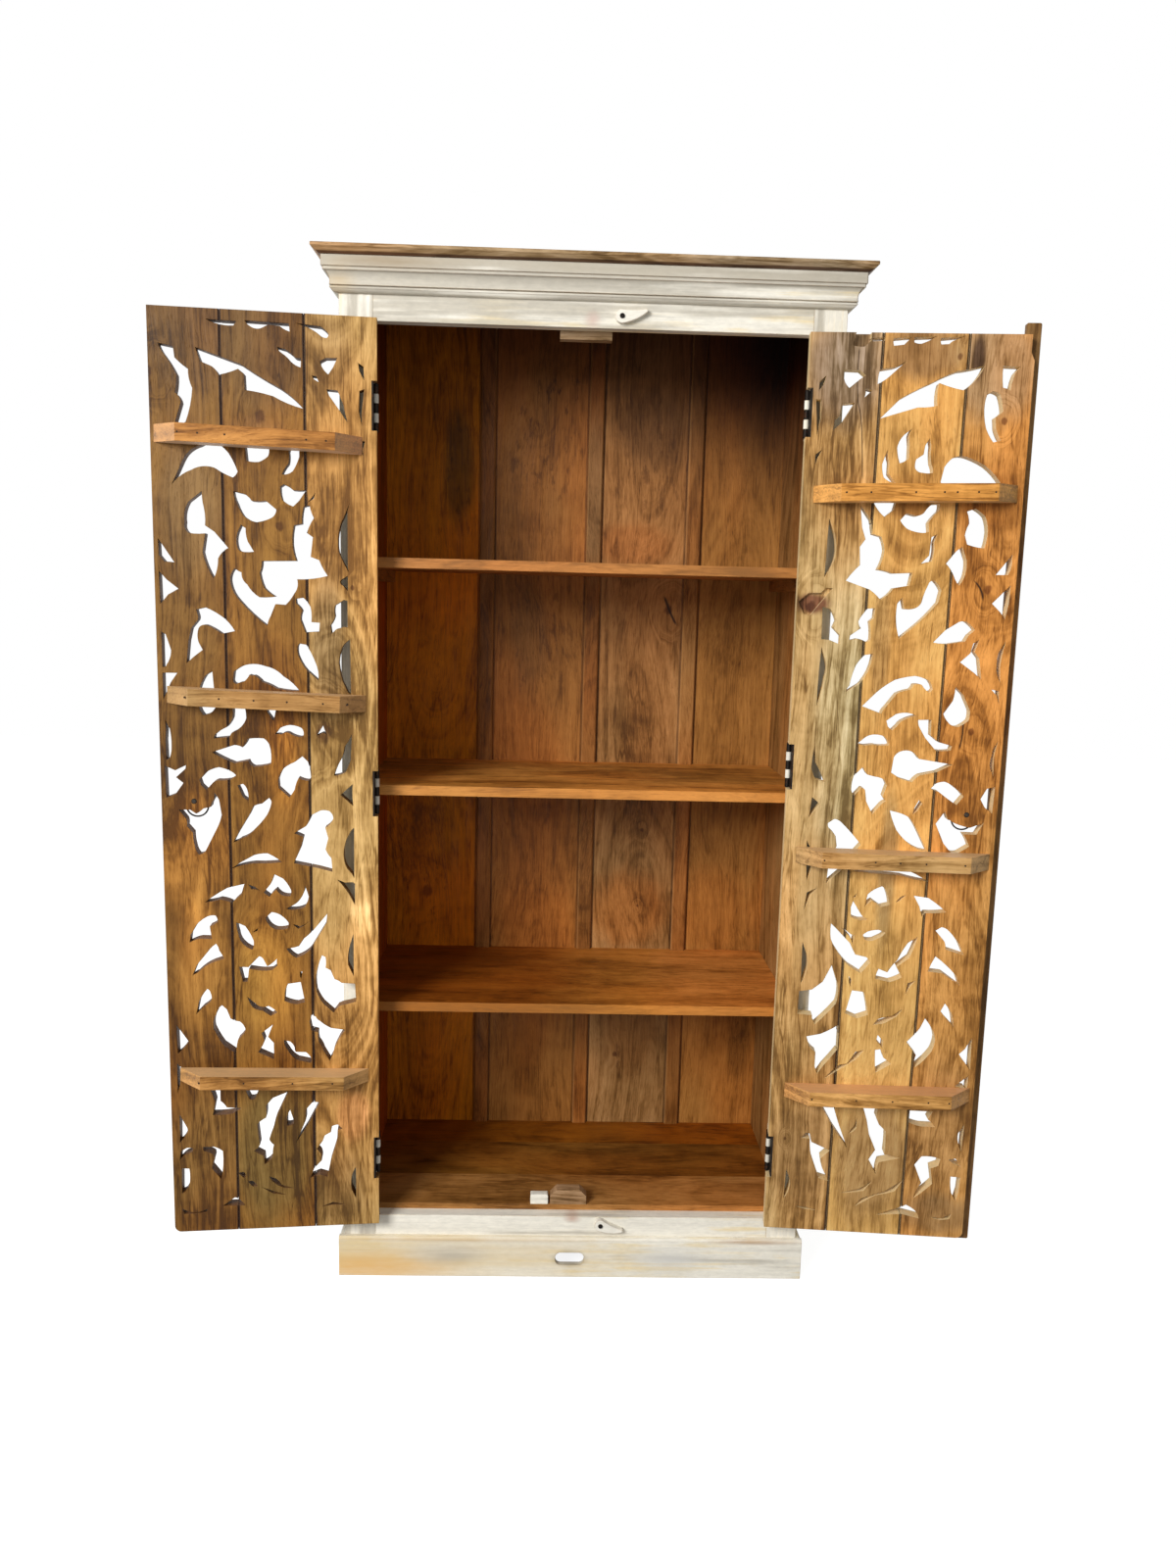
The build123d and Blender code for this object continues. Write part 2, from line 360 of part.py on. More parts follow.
# The fretwork of the right leaf, measured in the same way from its own hinge edge.
right_fret = [
    # head of the leaf: slits and small darts
    [(103, 1733), (127, 1734), (127, 1729), (107, 1728)],
    [(142, 1733), (173, 1736), (160, 1723), (143, 1721, 1)],
    [(177, 1735), (216, 1737), (200, 1729), (190, 1725, 1), (177, 1727)],
    [(222, 1734), (265, 1738), (245, 1731, -1), (237, 1725), (223, 1724, 1)],
    [(60, 1682), (88, 1681), (98, 1673), (88, 1666), (71, 1652, 1), (62, 1664, 1)],
    [(122, 1683), (146, 1687, -1), (166, 1697), (140, 1673, 1), (119, 1659, 1)],
    [(99, 1652), (111, 1649), (98, 1637, -1)],
    [(60, 1626), (82, 1628), (63, 1597), (47, 1582), (50, 1604, -1), (57, 1606)],
    [(31, 1672), (20, 1662), (19, 1647), (27, 1658)],
    [(15, 1633), (24, 1632), (25, 1603), (20, 1573), (18, 1600)],
    [(30, 1550), (19, 1542), (19, 1524), (24, 1538)],
    # upper band: the long flame and three drops
    [(127, 1603), (160, 1636, 1), (215, 1664, 1), (255, 1682, -1), (299, 1691, 1), (285, 1667, 1),
     (265, 1651, 1), (224, 1662, -2), (223, 1625, 1), (190, 1622)],
    [(330, 1691), (359, 1690), (351, 1680, -1), (345, 1652, 1), (341, 1654), (332, 1656, 1)],
    [(306, 1644), (316, 1650, 1), (328, 1645, 1), (335, 1618, 1), (323, 1608), (325, 1590, -1),
     (335, 1570), (322, 1567, 1), (308, 1590, 1), (303, 1620, 1)],
    [(143, 1552), (135, 1528, 1), (139, 1506, 2), (160, 1497), (147, 1512), (147, 1532, -1)],
    [(183, 1587), (170, 1577, 2), (159, 1555, 1), (165, 1530, 1), (180, 1538), (180, 1560),
     (178, 1575, -1)],
    [(214, 1572), (207, 1560), (205, 1545), (193, 1537, 1), (192, 1522, 2), (205, 1515, 1),
     (223, 1515, 1), (219, 1530, -1), (217, 1560)],
    [(237, 1500), (242, 1525, 1), (256, 1541, 2), (280, 1542, 1), (312, 1528, 2), (342, 1497, 2),
     (322, 1490), (284, 1493, -1), (246, 1490)],
    [(122, 1472), (165, 1472), (160, 1452), (145, 1440, 1), (130, 1455, 1)],
    [(238, 1464), (225, 1463, 1), (212, 1448, -1), (200, 1443), (182, 1447), (172, 1435, 1),
     (185, 1421, 1), (208, 1415, 1), (223, 1417), (221, 1432, -1), (237, 1452, 1)],
    [(286, 1452), (300, 1457, 1), (318, 1444, 1), (324, 1420, 1), (320, 1391, 1), (290, 1397),
     (285, 1412, 1), (291, 1432, -1)],
    # the great scroll, here in two holes, and its neighbours
    [(282, 1393), (291, 1370, 1), (290, 1345, 1), (281, 1327, 1), (270, 1345, -1), (256, 1364),
     (272, 1385)],
    [(102, 1460), (121, 1435), (126, 1411), (141, 1407, 1), (148, 1385, 2), (138, 1351, 1),
     (165, 1345), (199, 1347), (195, 1325), (168, 1320, 2), (146, 1300, -1), (126, 1317),
     (84, 1331, 1), (107, 1358), (105, 1389), (114, 1402), (107, 1422)],
    [(184, 1304), (176, 1294, 1), (176, 1262, 1), (183, 1234), (215, 1262, 1), (247, 1298),
     (251, 1318, 1), (239, 1334, 3), (228, 1328, 1), (218, 1297, -2), (205, 1286, -1), (189, 1285)],
    [(238, 1413), (228, 1408), (226, 1377), (211, 1361, -1), (231, 1367, 2), (233, 1400)],
    [(49, 1436), (60, 1410, 1), (64, 1380, 1), (59, 1358, 1), (46, 1336)],
    [(46, 1285), (53, 1284), (61, 1281, 1), (71, 1262), (66, 1250), (80, 1236), (80, 1221), (62, 1228),
     (47, 1229)],
    [(138, 1285), (125, 1284, 1), (110, 1262, 1), (115, 1250), (97, 1237), (96, 1228),
     (110, 1232, -1), (126, 1226, 1), (133, 1231, 1), (130, 1262), (137, 1268)],
    [(139, 1206), (125, 1204, 1), (110, 1185, 1), (101, 1150, 1), (95, 1138), (118, 1153, 1),
     (133, 1178, 1)],
    [(48, 1216), (57, 1190, 2), (57, 1165, 1), (45, 1112, 1)],
    [(243, 1229), (262, 1250), (285, 1265, 1), (298, 1266, 1), (314, 1252), (304, 1243), (298, 1232),
     (270, 1227, 1)],
    [(323, 1236), (313, 1229), (309, 1212), (292, 1196), (318, 1178), (331, 1167), (325, 1203),
     (316, 1214)],
    [(369, 1235), (358, 1215, 1), (356, 1185, 1), (364, 1162), (362, 1190, -1)],
    [(369, 1382), (355, 1363), (343, 1347), (364, 1347, 1), (369, 1365)],
    [(370, 1330), (340, 1298), (355, 1284), (364, 1272), (369, 1300)],
    [(350, 1150), (363, 1148), (365, 1124), (360, 1140)],
    [(287, 1153), (302, 1139), (315, 1112, 1), (314, 1095, 1), (297, 1083, 2), (280, 1089, 1),
     (269, 1105), (284, 1128, -1)],
    [(125, 1114), (150, 1140, 1), (180, 1162, 1), (215, 1170, 1), (240, 1163, 1), (248, 1148, 1),
     (241, 1142, 1), (228, 1155, -1), (214, 1155, 1), (208, 1146, -1), (185, 1138), (168, 1115, -1),
     (160, 1102), (148, 1106)],
    [(170, 1090), (186, 1102, 1), (205, 1105, 1), (222, 1100, -1), (200, 1092, -1), (190, 1082),
     (181, 1073), (173, 1080)],
    [(226, 1093), (249, 1094), (250, 1066), (264, 1055), (288, 1049), (286, 1041, 1), (260, 1040),
     (240, 1062), (229, 1080, 1)],
    # the fish and the leaves round it
    [(120, 1047), (135, 1060, 1), (150, 1065, 1), (168, 1062, 1), (178, 1048, 1), (170, 1046, 1),
     (150, 1047), (135, 1045)],
    [(184, 998), (187, 1025, 2), (200, 1037, 2), (220, 1036, 1), (232, 1024), (292, 1016),
     (265, 1002), (235, 995, -1), (222, 982), (200, 988)],
    [(133, 1006), (118, 990, 1), (115, 965, 1), (121, 955), (133, 969, -1), (140, 965), (143, 945),
     (155, 922), (168, 938, -1), (178, 946), (172, 955), (178, 975), (173, 985, 1), (155, 990),
     (142, 993)],
    [(46, 1042), (50, 1010, 1), (67, 977), (50, 982, 1), (42, 1002, 1)],
    [(369, 979), (355, 975), (345, 956), (353, 942), (367, 931)],
    [(369, 1061), (361, 1047), (357, 1025, 1), (359, 1008), (364, 997), (363, 1030, -1)],
    [(256, 972), (264, 981, 1), (280, 985, 1), (298, 975, 1), (315, 960), (303, 944), (285, 956),
     (270, 967, 1)],
    [(237, 951), (243, 945), (235, 931), (227, 924), (229, 935)],
    # behind the ring, and the pipe
    [(284, 932), (269, 909), (285, 874), (299, 858, 1), (313, 858), (331, 870, 1), (319, 892),
     (342, 892), (354, 914), (330, 904, -1), (300, 912, 1), (290, 917)],
    [(186, 930), (200, 927, 1), (222, 918, 1), (240, 890), (257, 858), (245, 860, 1), (222, 872, 1),
     (200, 895, 1)],
    [(77, 903), (88, 911, 1), (100, 906, 1), (138, 866), (125, 850), (112, 830), (106, 818),
     (80, 793), (82, 822), (88, 845), (95, 862), (92, 880, -1), (80, 892, 1)],
    [(46, 949), (61, 937), (42, 912)],
    [(41, 870), (52, 848, 1), (52, 822, 1), (44, 796)],
    [(124, 816), (150, 824, 1), (185, 827, 1), (230, 820, 1), (262, 803, 1), (215, 812, -1),
     (160, 814, -1)],
    [(152, 752), (156, 775, 2), (181, 791, 1), (189, 782, 1), (196, 757), (181, 753), (165, 764, -1)],
    [(207, 763), (215, 772, 1), (225, 776), (212, 764)],
    [(239, 776), (265, 773, 1), (299, 748, 1), (262, 745, -1), (256, 737), (250, 757)],
    [(131, 763), (127, 750), (128, 733, 1), (143, 727, 1), (160, 729), (150, 733, -1), (140, 748, -1)],
    [(137, 777), (129, 768), (134, 769)],
    [(64, 783), (46, 774), (42, 740), (52, 768)],
    # lower band: fins, eye and horn
    [(282, 713), (292, 720, 1), (304, 715, 1), (326, 690), (336, 669), (302, 679, -1), (299, 694)],
    [(285, 665), (296, 657), (310, 645), (325, 630), (332, 612), (300, 634), (273, 636), (278, 650)],
    [(308, 577), (318, 565, 1), (325, 545), (327, 533), (312, 548), (301, 562)],
    [(274, 547), (287, 530, 1), (295, 508, 1), (290, 485, 2), (261, 452, 2), (262, 476), (243, 500),
     (258, 517), (266, 528)],
    [(251, 700), (234, 688, 1), (217, 655, 1), (200, 631), (184, 637, 1), (179, 618), (205, 613, 1),
     (227, 623), (217, 642), (238, 660, 1)],
    [(152, 700), (160, 706, 1), (180, 710), (192, 706, 1), (185, 697), (172, 690, 1), (157, 690, 1)],
    [(112, 712), (127, 702, -1), (137, 698), (134, 682), (130, 693)],
    [(93, 718), (100, 712), (130, 682), (140, 662), (160, 658, 1), (168, 648), (152, 627),
     (130, 640, 1), (108, 665, 1), (94, 690, 1)],
    [(252, 618), (238, 612), (235, 590), (243, 606)],
    [(131, 621), (136, 614), (135, 601), (132, 609)],
    [(138, 594), (160, 592, 1), (170, 549), (150, 541), (128, 550)],
    [(180, 530), (188, 541, 1), (214, 549), (232, 563), (222, 548), (205, 537, 1), (190, 532)],
    [(99, 641), (112, 603, 2), (110, 567, 1), (74, 526, 2), (68, 543), (41, 545), (42, 588),
     (65, 592), (84, 608)],
    [(43, 682), (53, 655, 1), (54, 630, 1), (44, 602)],
    [(60, 502), (85, 508, -1), (117, 527), (118, 480), (105, 462), (92, 445), (83, 430), (78, 445),
     (78, 472, 1), (65, 485)],
    [(190, 511), (188, 500), (200, 486), (201, 500)],
    [(187, 482), (196, 484, 1), (203, 468), (218, 457), (190, 438), (188, 460)],
    [(167, 481), (153, 462), (97, 422, 1), (123, 450), (137, 453), (152, 477)],
    [(361, 514), (350, 492), (340, 482), (348, 470), (362, 452)],
    [(360, 441), (337, 420), (356, 416), (358, 386)],
    # foot of the leaf
    [(258, 368), (300, 368), (292, 352, 1), (306, 338), (280, 338, 1), (257, 345)],
    [(171, 373), (200, 373), (197, 350), (203, 337), (216, 325, 1), (216, 279, 1), (245, 273),
     (207, 263, -1), (203, 238), (187, 266), (199, 287), (186, 316), (180, 345)],
    [(161, 350), (162, 328, 1), (148, 316, 1), (157, 332, -1)],
    [(96, 366), (118, 366), (130, 330), (147, 287), (120, 325)],
    [(60, 303), (68, 313, 1), (78, 311), (80, 296), (115, 281), (99, 264), (102, 247), (115, 220),
     (97, 225), (81, 268, 1), (77, 302)],
    [(359, 346), (349, 328, 1), (350, 310, 1), (357, 293)],
    [(335, 275), (347, 278, 1), (359, 262), (345, 268)],
    [(273, 262), (285, 279, 2), (320, 276), (317, 262), (303, 256), (308, 226, 1), (275, 195, 2),
     (288, 226)],
    [(341, 242), (359, 241), (357, 210), (353, 193), (344, 210, 1)],
    [(253, 229), (240, 207, 1), (205, 197), (168, 173, 1), (180, 189), (222, 206)],
    [(208, 158), (240, 171, -1), (262, 181, 1), (280, 170, 1), (288, 155), (255, 162)],
    [(140, 198), (172, 207, -1), (196, 224), (182, 204, 1)],
    [(36, 239), (44, 218, 1), (43, 200, 1), (34, 180)],
    [(58, 166), (78, 165), (95, 160), (75, 161)],
    [(308, 159), (330, 158), (347, 167), (344, 157), (325, 154)],
]

# Hollows in the inner face of the right leaf, where a corner was scorched away and a knot
# fell out: their depth, and their outline measured as the holes are.
right_hollows = [
    (14.0, [(73, 1721), (79, 1746), (104, 1746), (104, 1729), (93, 1719, 1)]),
    (7.0, [(3, 1293), (20, 1308), (42, 1309), (50, 1318), (62, 1317), (51, 1304), (40, 1290), (25, 1270),
           (13, 1273)]),
]

parts = {}


# ---------------------------------------------------------------- helpers
def block(x0, x1, y0, y1, z0, z1):
    """A box between two opposite corners."""
    box = Box(abs(x1 - x0), abs(y1 - y0), abs(z1 - z0))
    return Pos((x0 + x1) / 2, (y0 + y1) / 2, (z0 + z1) / 2) * box


def rod(start, direction, radius, length):
    """A round bar from a start point along a direction."""
    return Solid.extrude(Face(Wire.make_circle(radius, Plane(start, z_dir=direction))),
                         Vector(direction).normalized() * length)


def cone_end(start, direction, radius, end_radius, length):
    """A cone that starts at a point and narrows or widens along a direction."""
    return Solid.make_cone(radius, end_radius, length, Plane(start, z_dir=direction))


def turning_sense(outline):
    """+1 for an outline that runs anticlockwise, -1 for one that runs clockwise."""
    doubled_area = 0.0
    for first, second in zip(outline, outline[1:] + outline[:1]):
        doubled_area += first[0] * second[1] - second[0] * first[1]
    return 1 if doubled_area > 0 else -1


def outline_edges(outline, place):
    """Lines and arcs round a flat outline; place puts a flat point into space."""
    sense = turning_sense(outline)
    edges = []
    for first, second in zip(outline, outline[1:] + outline[:1]):
        start = place(first[0], first[1])
        end = place(second[0], second[1])
        if len(first) < 3:
            edges.append(Edge.make_line(start, end))
            continue
        run_x = second[0] - first[0]
        run_z = second[1] - first[1]
        length = math.hypot(run_x, run_z)
        mid_x = (first[0] + second[0]) / 2 + sense * first[2] * run_z / length
        mid_z = (first[1] + second[1]) / 2 - sense * first[2] * run_x / length
        edges.append(Edge.make_three_point_arc(start, place(mid_x, mid_z), end))
    return edges


def prism(outline, place, thickness):
    """The solid that a flat outline sweeps along a thickness vector."""
    face = Face(Wire(outline_edges(outline, place)))
    return Solid.extrude(face, Vector(thickness))


def save(name, *solids):
    """Keeps the solids of one piece, or of one group of like pieces, under its name."""
    parts[name] = list(solids)


# ---------------------------------------------------------------- case
def make_face_frame():
    for name, side in (("left_stile", -1), ("right_stile", 1)):
        stile = block(side * opening_half, side * case_half, 0, frame_thick, 0, case_top)
        for height in hinge_heights(side):
            for screw in frame_screw_holes(side, height):
                stile -= screw
        save(name, stile)
    lintel = block(-opening_half, opening_half, 0, frame_thick, opening_top, case_top)
    rail = block(-opening_half, opening_half, 0, frame_thick, rail_top - rail_height, rail_top)
    save("lintel", lintel - button_pilot(*upper_button_pivot()))
    save("bottom_rail", rail - button_pilot(*lower_button_pivot()))


def make_sides():
    edges = [frame_thick]
    for width in side_board_widths:
        edges.append(edges[-1] + width)
    edges.append(carcass_depth)
    for name, side in (("left_side_boards", -1), ("right_side_boards", 1)):
        boards = []
        for near, far in zip(edges, edges[1:]):
            boards.append(block(side * inner_half, side * case_half, near, far, 0, case_top))
        save(name, *boards)


def make_top_board():
    reach = case_half + top_overhang
    top = block(-reach, reach, -top_overhang, carcass_depth, case_top, total_height)
    bevel = [(0, 0), (top_bevel_in, 0), (0, top_bevel_up)]
    top -= prism(bevel, lambda out, up: Vector(-reach, out - top_overhang, case_top + up), (2 * reach, 0, 0))
    for side in (-1, 1):
        top -= prism(bevel, lambda out, up: Vector(side * (reach - out), -top_overhang, case_top + up),
                     (0, carcass_depth + top_overhang, 0))
    upper_edges = top.faces().sort_by(Axis.Z)[-1].edges().sort_by(Axis.Y)
    save("top_board", fillet(upper_edges[:-1], top_arris))


def cornice_profile():
    """Outline of the moulding: how far it stands out, and its height above the floor."""
    fascia_foot = case_top - fascia_height
    fillet_foot = fascia_foot - fillet_height
    cove_foot = fillet_foot - cove_height
    groove_foot = cove_foot - groove_height
    bead_foot = groove_foot - bead_height
    ovolo_foot = bead_foot - ovolo_height
    return [
        (0, ovolo_foot),
        (ovolo_foot_out, ovolo_foot, ovolo_round),
        (bead_out, bead_foot, bead_round),
        (bead_out, groove_foot),
        (groove_out, groove_foot),
        (groove_out, cove_foot),
        (cove_bottom_out, cove_foot, -cove_hollow),
        (cove_top_out, fillet_foot),
        (fillet_out, fillet_foot),
        (fillet_out, fascia_foot),
        (fascia_out, fascia_foot),
        (fascia_out, case_top),
        (0, case_top),
    ]


def mitre_waste(side, front_length):
    """The wedge beyond the 45 degree mitre, for the front length or for a side length."""
    far = 2 * fascia_out
    third = (far, far) if front_length else (-far, -far)
    wedge = [(-far, far), (far, -far), third]
    return prism(wedge, lambda out, back: Vector(side * (case_half + out), back, 0), (0, 0, 2 * total_height))


def make_cornice():
    profile = cornice_profile()
    end = case_half + fascia_out
    front = prism(profile, lambda out, up: Vector(-end, -out, up), (2 * end, 0, 0))
    for side in (-1, 1):
        front -= mitre_waste(side, True)
    save("cornice_front", front)
    for name, side in (("cornice_left", -1), ("cornice_right", 1)):
        length = prism(profile, lambda out, up: Vector(side * (case_half + out), -fascia_out, up),
                       (0, fascia_out + carcass_depth, 0))
        save(name, length - mitre_waste(side, False))


def make_plinth():
    end = case_half + plinth_thick
    front = block(-end, end, -plinth_thick, 0, 0, plinth_height)
    chamfer = [(0, 0), (plinth_chamfer, 0), (0, -plinth_chamfer)]
    front -= prism(chamfer, lambda back, up: Vector(-end, back - plinth_thick, plinth_height + up),
                   (2 * end, 0, 0))
    vent = RectangleRounded(vent_width, vent_height, vent_corner)
    cutter = extrude(Plane.XZ * vent, 2 * plinth_thick, both=True)
    save("plinth_front", front - Pos(vent_centre_x, 0, vent_centre_z) * cutter)
    for name, side in (("plinth_left", -1), ("plinth_right", 1)):
        board = block(side * case_half, side * end, 0, carcass_depth, 0, plinth_height)
        board -= prism(chamfer, lambda back, up: Vector(side * (end - back), 0, plinth_height + up),
                       (0, carcass_depth, 0))
        save(name, board)


# ---------------------------------------------------------------- inside
def make_back():
    joints = [-inner_half, *strip_centres, inner_half]
    for number, (left, right) in enumerate(zip(joints, joints[1:]), start=1):
        board = block(left, right, back_front, carcass_depth, floor_bottom, case_top)
        save("back_board_%d" % number, board)
    strips = []
    for centre in strip_centres:
        half = strip_width / 2
        outline = [(-half, 0), (half, 0), (half, -strip_thick + strip_chamfer),
                   (half - strip_chamfer, -strip_thick), (strip_chamfer - half, -strip_thick),
                   (-half, -strip_thick + strip_chamfer)]
        strips.append(prism(outline, lambda x, y: Vector(centre + x, back_front + y, floor_top),
                            (0, 0, case_top - floor_top)))
    save("back_cover_strips", *strips)


def make_floor():
    edges = [frame_thick]
    for width in floor_board_widths:
        edges.append(edges[-1] + width)
    edges.append(back_front)
    for name, near, far in zip(("front", "middle", "back"), edges, edges[1:]):
        save("floor_board_" + name, block(-inner_half, inner_half, near, far, floor_bottom, floor_top))


def make_shelves():
    for name, top in shelf_tops.items():
        bottom = top - shelf_thick
        shelf = block(-inner_half, inner_half, shelf_setback, back_front, bottom, top)
        for centre in strip_centres:
            half = strip_width / 2 + strip_clearance
            shelf -= block(centre - half, centre + half, back_front - strip_thick - strip_clearance,
                           back_front, bottom, top)
        if name == "upper":
            shelf -= shelf_chip(top)
        save(name + "_shelf", shelf)


def shelf_chip(top):
    """A shallow scoop broken out of the shelf's front edge."""
    radius = (shelf_chip_length ** 2 / 4 + shelf_chip_depth ** 2) / (2 * shelf_chip_depth)
    start = (shelf_chip_x, shelf_setback - shelf_chip_depth, top + radius - shelf_chip_depth)
    return rod(start, (0, 1, 0), radius, 2 * shelf_chip_depth)


def make_cleats():
    cleats = []
    for top in [floor_bottom] + [height - shelf_thick for height in shelf_tops.values()]:
        for side in (-1, 1):
            cleats.append(block(side * (inner_half - cleat_width), side * inner_half,
                                shelf_setback + cleat_setback, back_front - cleat_setback,
                                top - cleat_height, top))
    save("shelf_cleats", *cleats)


def make_stops():
    save("upper_door_stop",
         block(upper_stop_left, upper_stop_left + upper_stop_width, frame_thick, frame_thick + stop_depth,
               opening_top - upper_stop_drop, opening_top + upper_stop_lap))
    right = lower_stop_left + lower_stop_width
    top = floor_top + lower_stop_height
    outline = [(lower_stop_left, floor_top), (right, floor_top), (right, top - lower_stop_clip),
               (right - lower_stop_clip, top), (lower_stop_left + lower_stop_clip, top),
               (lower_stop_left, top - lower_stop_clip)]
    save("lower_door_stop",
         prism(outline, lambda x, z: Vector(x, frame_thick, z), (0, stop_depth, 0)))
    catch_right = lower_stop_left - catch_spacing
    catch = block(catch_right - catch_width, catch_right, frame_thick, frame_thick + catch_depth,
                  floor_top, floor_top + catch_height)
    save("white_catch", fillet(catch.edges().group_by(Axis.Z)[-1], catch_corner))


# ---------------------------------------------------------------- doors
# Every piece of a door is made with the door shut and then swung open about its hinge pin.
def leaf_x(side, across):
    """X of a point of the shut leaf, from its distance to the hinge edge."""
    return side * (opening_half - hinge_gap - across)


def swing_open(side, shape):
    angle = -left_open_angle if side < 0 else right_open_angle
    pin = (side * (opening_half - pin_inset), -pin_front, 0)
    return shape.rotate(Axis(pin, (0, 0, 1)), angle)


def leaf_share(drawn_height):
    """How far up the leaf a height of the drawings lies, from 0 to 1."""
    return (drawn_height - drawing_heights[0]) / (drawing_heights[1] - drawing_heights[0])


def up_leaf(drawn_height):
    """A height of the drawings on a leaf of its own size."""
    return leaf_bottom + leaf_share(drawn_height) * leaf_height


def across_leaf(drawn_across):
    """A distance from the hinge edge in the drawings, on a leaf of its own size."""
    return drawn_across * leaf_width / left_drawing_widths[0]


def hinge_heights(side):
    """Heights of the middles of the hinges on one side."""
    drawn_heights = left_hinge_heights if side < 0 else right_hinge_heights
    return [up_leaf(height) for height in drawn_heights]


def ring_place(side):
    """Where the ring's peg goes through the leaf: across it, and height."""
    across, height = left_ring_place if side < 0 else right_ring_place
    return across_leaf(across), up_leaf(height)


def fitted_batten(batten):
    """A batten of the drawings, fitted to a leaf of its own size."""
    hinge_end, free_end, top, thickness, lean, nails = batten
    return (across_leaf(hinge_end), across_leaf(free_end), up_leaf(top), thickness, lean,
            [across_leaf(nail) for nail in nails])


def fret_outline(outline, widths, lean):
    """A hole's outline, stretched from the drawing to the leaf's own size."""
    stretched = []
    for point in outline:
        share = leaf_share(point[1])
        drawn_width = widths[0] + (widths[1] - widths[0]) * share
        own_width = leaf_width + lean * share
        stretched.append((point[0] * own_width / drawn_width, up_leaf(point[1]), *point[2:]))
    return stretched


def plank_outlines(seams, lean):
    """The three upright planks of a leaf, as outlines across and up."""
    fitted_seams = [(across_leaf(low), across_leaf(high)) for low, high in seams]
    edges = [(0.0, 0.0), *fitted_seams, (leaf_width, leaf_width + lean)]
    outlines = []
    for number, (near, far) in enumerate(zip(edges, edges[1:])):
        near_gap = seam_gap / 2 if number > 0 else 0.0
        far_gap = seam_gap / 2 if number < 2 else 0.0
        outline = [(near[0] + near_gap, leaf_bottom)]
        if number == 2:
            outline += [(far[0] - leaf_corner, leaf_bottom, leaf_corner * (1 - math.sqrt(0.5))),
                        (far[0], leaf_bottom + leaf_corner)]
        else:
            outline += [(far[0] - far_gap, leaf_bottom)]
        if number == 2 and lean > 0:
            outline += [(far[1], leaf_top - chip_height), (far[1] - chip_width, leaf_top - 0.7 * chip_height),
                        (far[1] - chip_width, leaf_top)]
        else:
            outline += [(far[1] - far_gap, leaf_top)]
        outline += [(near[1] + near_gap, leaf_top)]
        outlines.append(outline)
    return outlines


def hinge_notches(side, heights):
    half = hinge_length / 2 + hinge_end_clearance
    notches = []
    for height in heights:
        notches.append(block(leaf_x(side, -1), leaf_x(side, hinge_notch), -1, leaf_thick + 1,
                             height - half, height + half))
    return notches


def batten_frame(side, batten):
    """Turns a level batten about its middle, so that it leans as the real one does."""
    hinge_end, free_end, top, thickness, lean, nails = batten
    middle = (leaf_x(side, (hinge_end + free_end) / 2), 0, top - thickness / 2)
    return lambda shape: shape.rotate(Axis(middle, (0, side, 0)), lean)


def batten_solid(side, batten):
    hinge_end, free_end, top, thickness, lean, nails = batten
    outline = [(hinge_end, leaf_thick), (free_end, leaf_thick),
               (free_end - batten_depth, leaf_thick + batten_depth),
               (hinge_end + batten_depth, leaf_thick + batten_depth)]
    level = prism(outline, lambda across, y: Vector(leaf_x(side, across), y, top - thickness),
                  (0, 0, thickness))
    return batten_frame(side, batten)(level)


def batten_nails(side, batten, extra=0.0):
    """Nails driven through a batten into the planks; extra widens them to make their holes."""
    hinge_end, free_end, top, thickness, lean, nails = batten
    turned = batten_frame(side, batten)
    solids = []
    for across in nails:
        start = (leaf_x(side, across), leaf_thick + batten_depth + extra, top - thickness / 2)
        reach = batten_depth + nail_grip + 2 * extra
        solids.append(turned(rod(start, (0, -1, 0), nail_radius + extra, reach)))
    return solids


def peg_hole(side, place):
    return rod((leaf_x(side, place[0]), -1, place[1]), (0, 1, 0), peg_radius + nail_clearance, leaf_thick + 2)


def make_leaf(name, side, fret, hollows, widths, seams, lean, battens):
    def place(across, height):
        return Vector(leaf_x(side, across), 0, height)

    def place_inside(across, height):
        return Vector(leaf_x(side, across), leaf_thick, height)

    holes = []
    for outline in fret:
        shape = fret_outline(outline, widths, lean)
        holes.append((shape, prism(shape, place, (0, leaf_thick, 0))))
    for depth, outline in hollows:
        shape = fret_outline(outline, widths, lean)
        holes.append((shape, prism(shape, place_inside, (0, -depth, 0))))
    heights = hinge_heights(side)
    cuts = hinge_notches(side, heights) + [peg_hole(side, ring_place(side))]
    cuts += [screw for height in heights for screw in door_screw_holes(side, height)]
    nails = []
    for batten_name, drawn_batten in battens.items():
        batten = fitted_batten(drawn_batten)
        nails += batten_nails(side, batten)
        drilled = batten_solid(side, batten)
        wider = batten_nails(side, batten, nail_clearance)
        cuts += wider
        save("%s_door_%s_batten" % (name, batten_name), swing_open(side, drilled - wider))
    save(name + "_door_batten_nails", *[swing_open(side, nail) for nail in nails])
    for number, outline in enumerate(plank_outlines(seams, lean), start=1):
        near = min(point[0] for point in outline)
        far = max(point[0] for point in outline)
        plank = prism(outline, place, (0, leaf_thick, 0))
        crossing = [solid for shape, solid in holes
                    if max(p[0] for p in shape) > near - 4 and min(p[0] for p in shape) < far + 4]
        plank = plank - crossing - cuts
        save("%s_door_plank_%d" % (name, number), swing_open(side, plank))


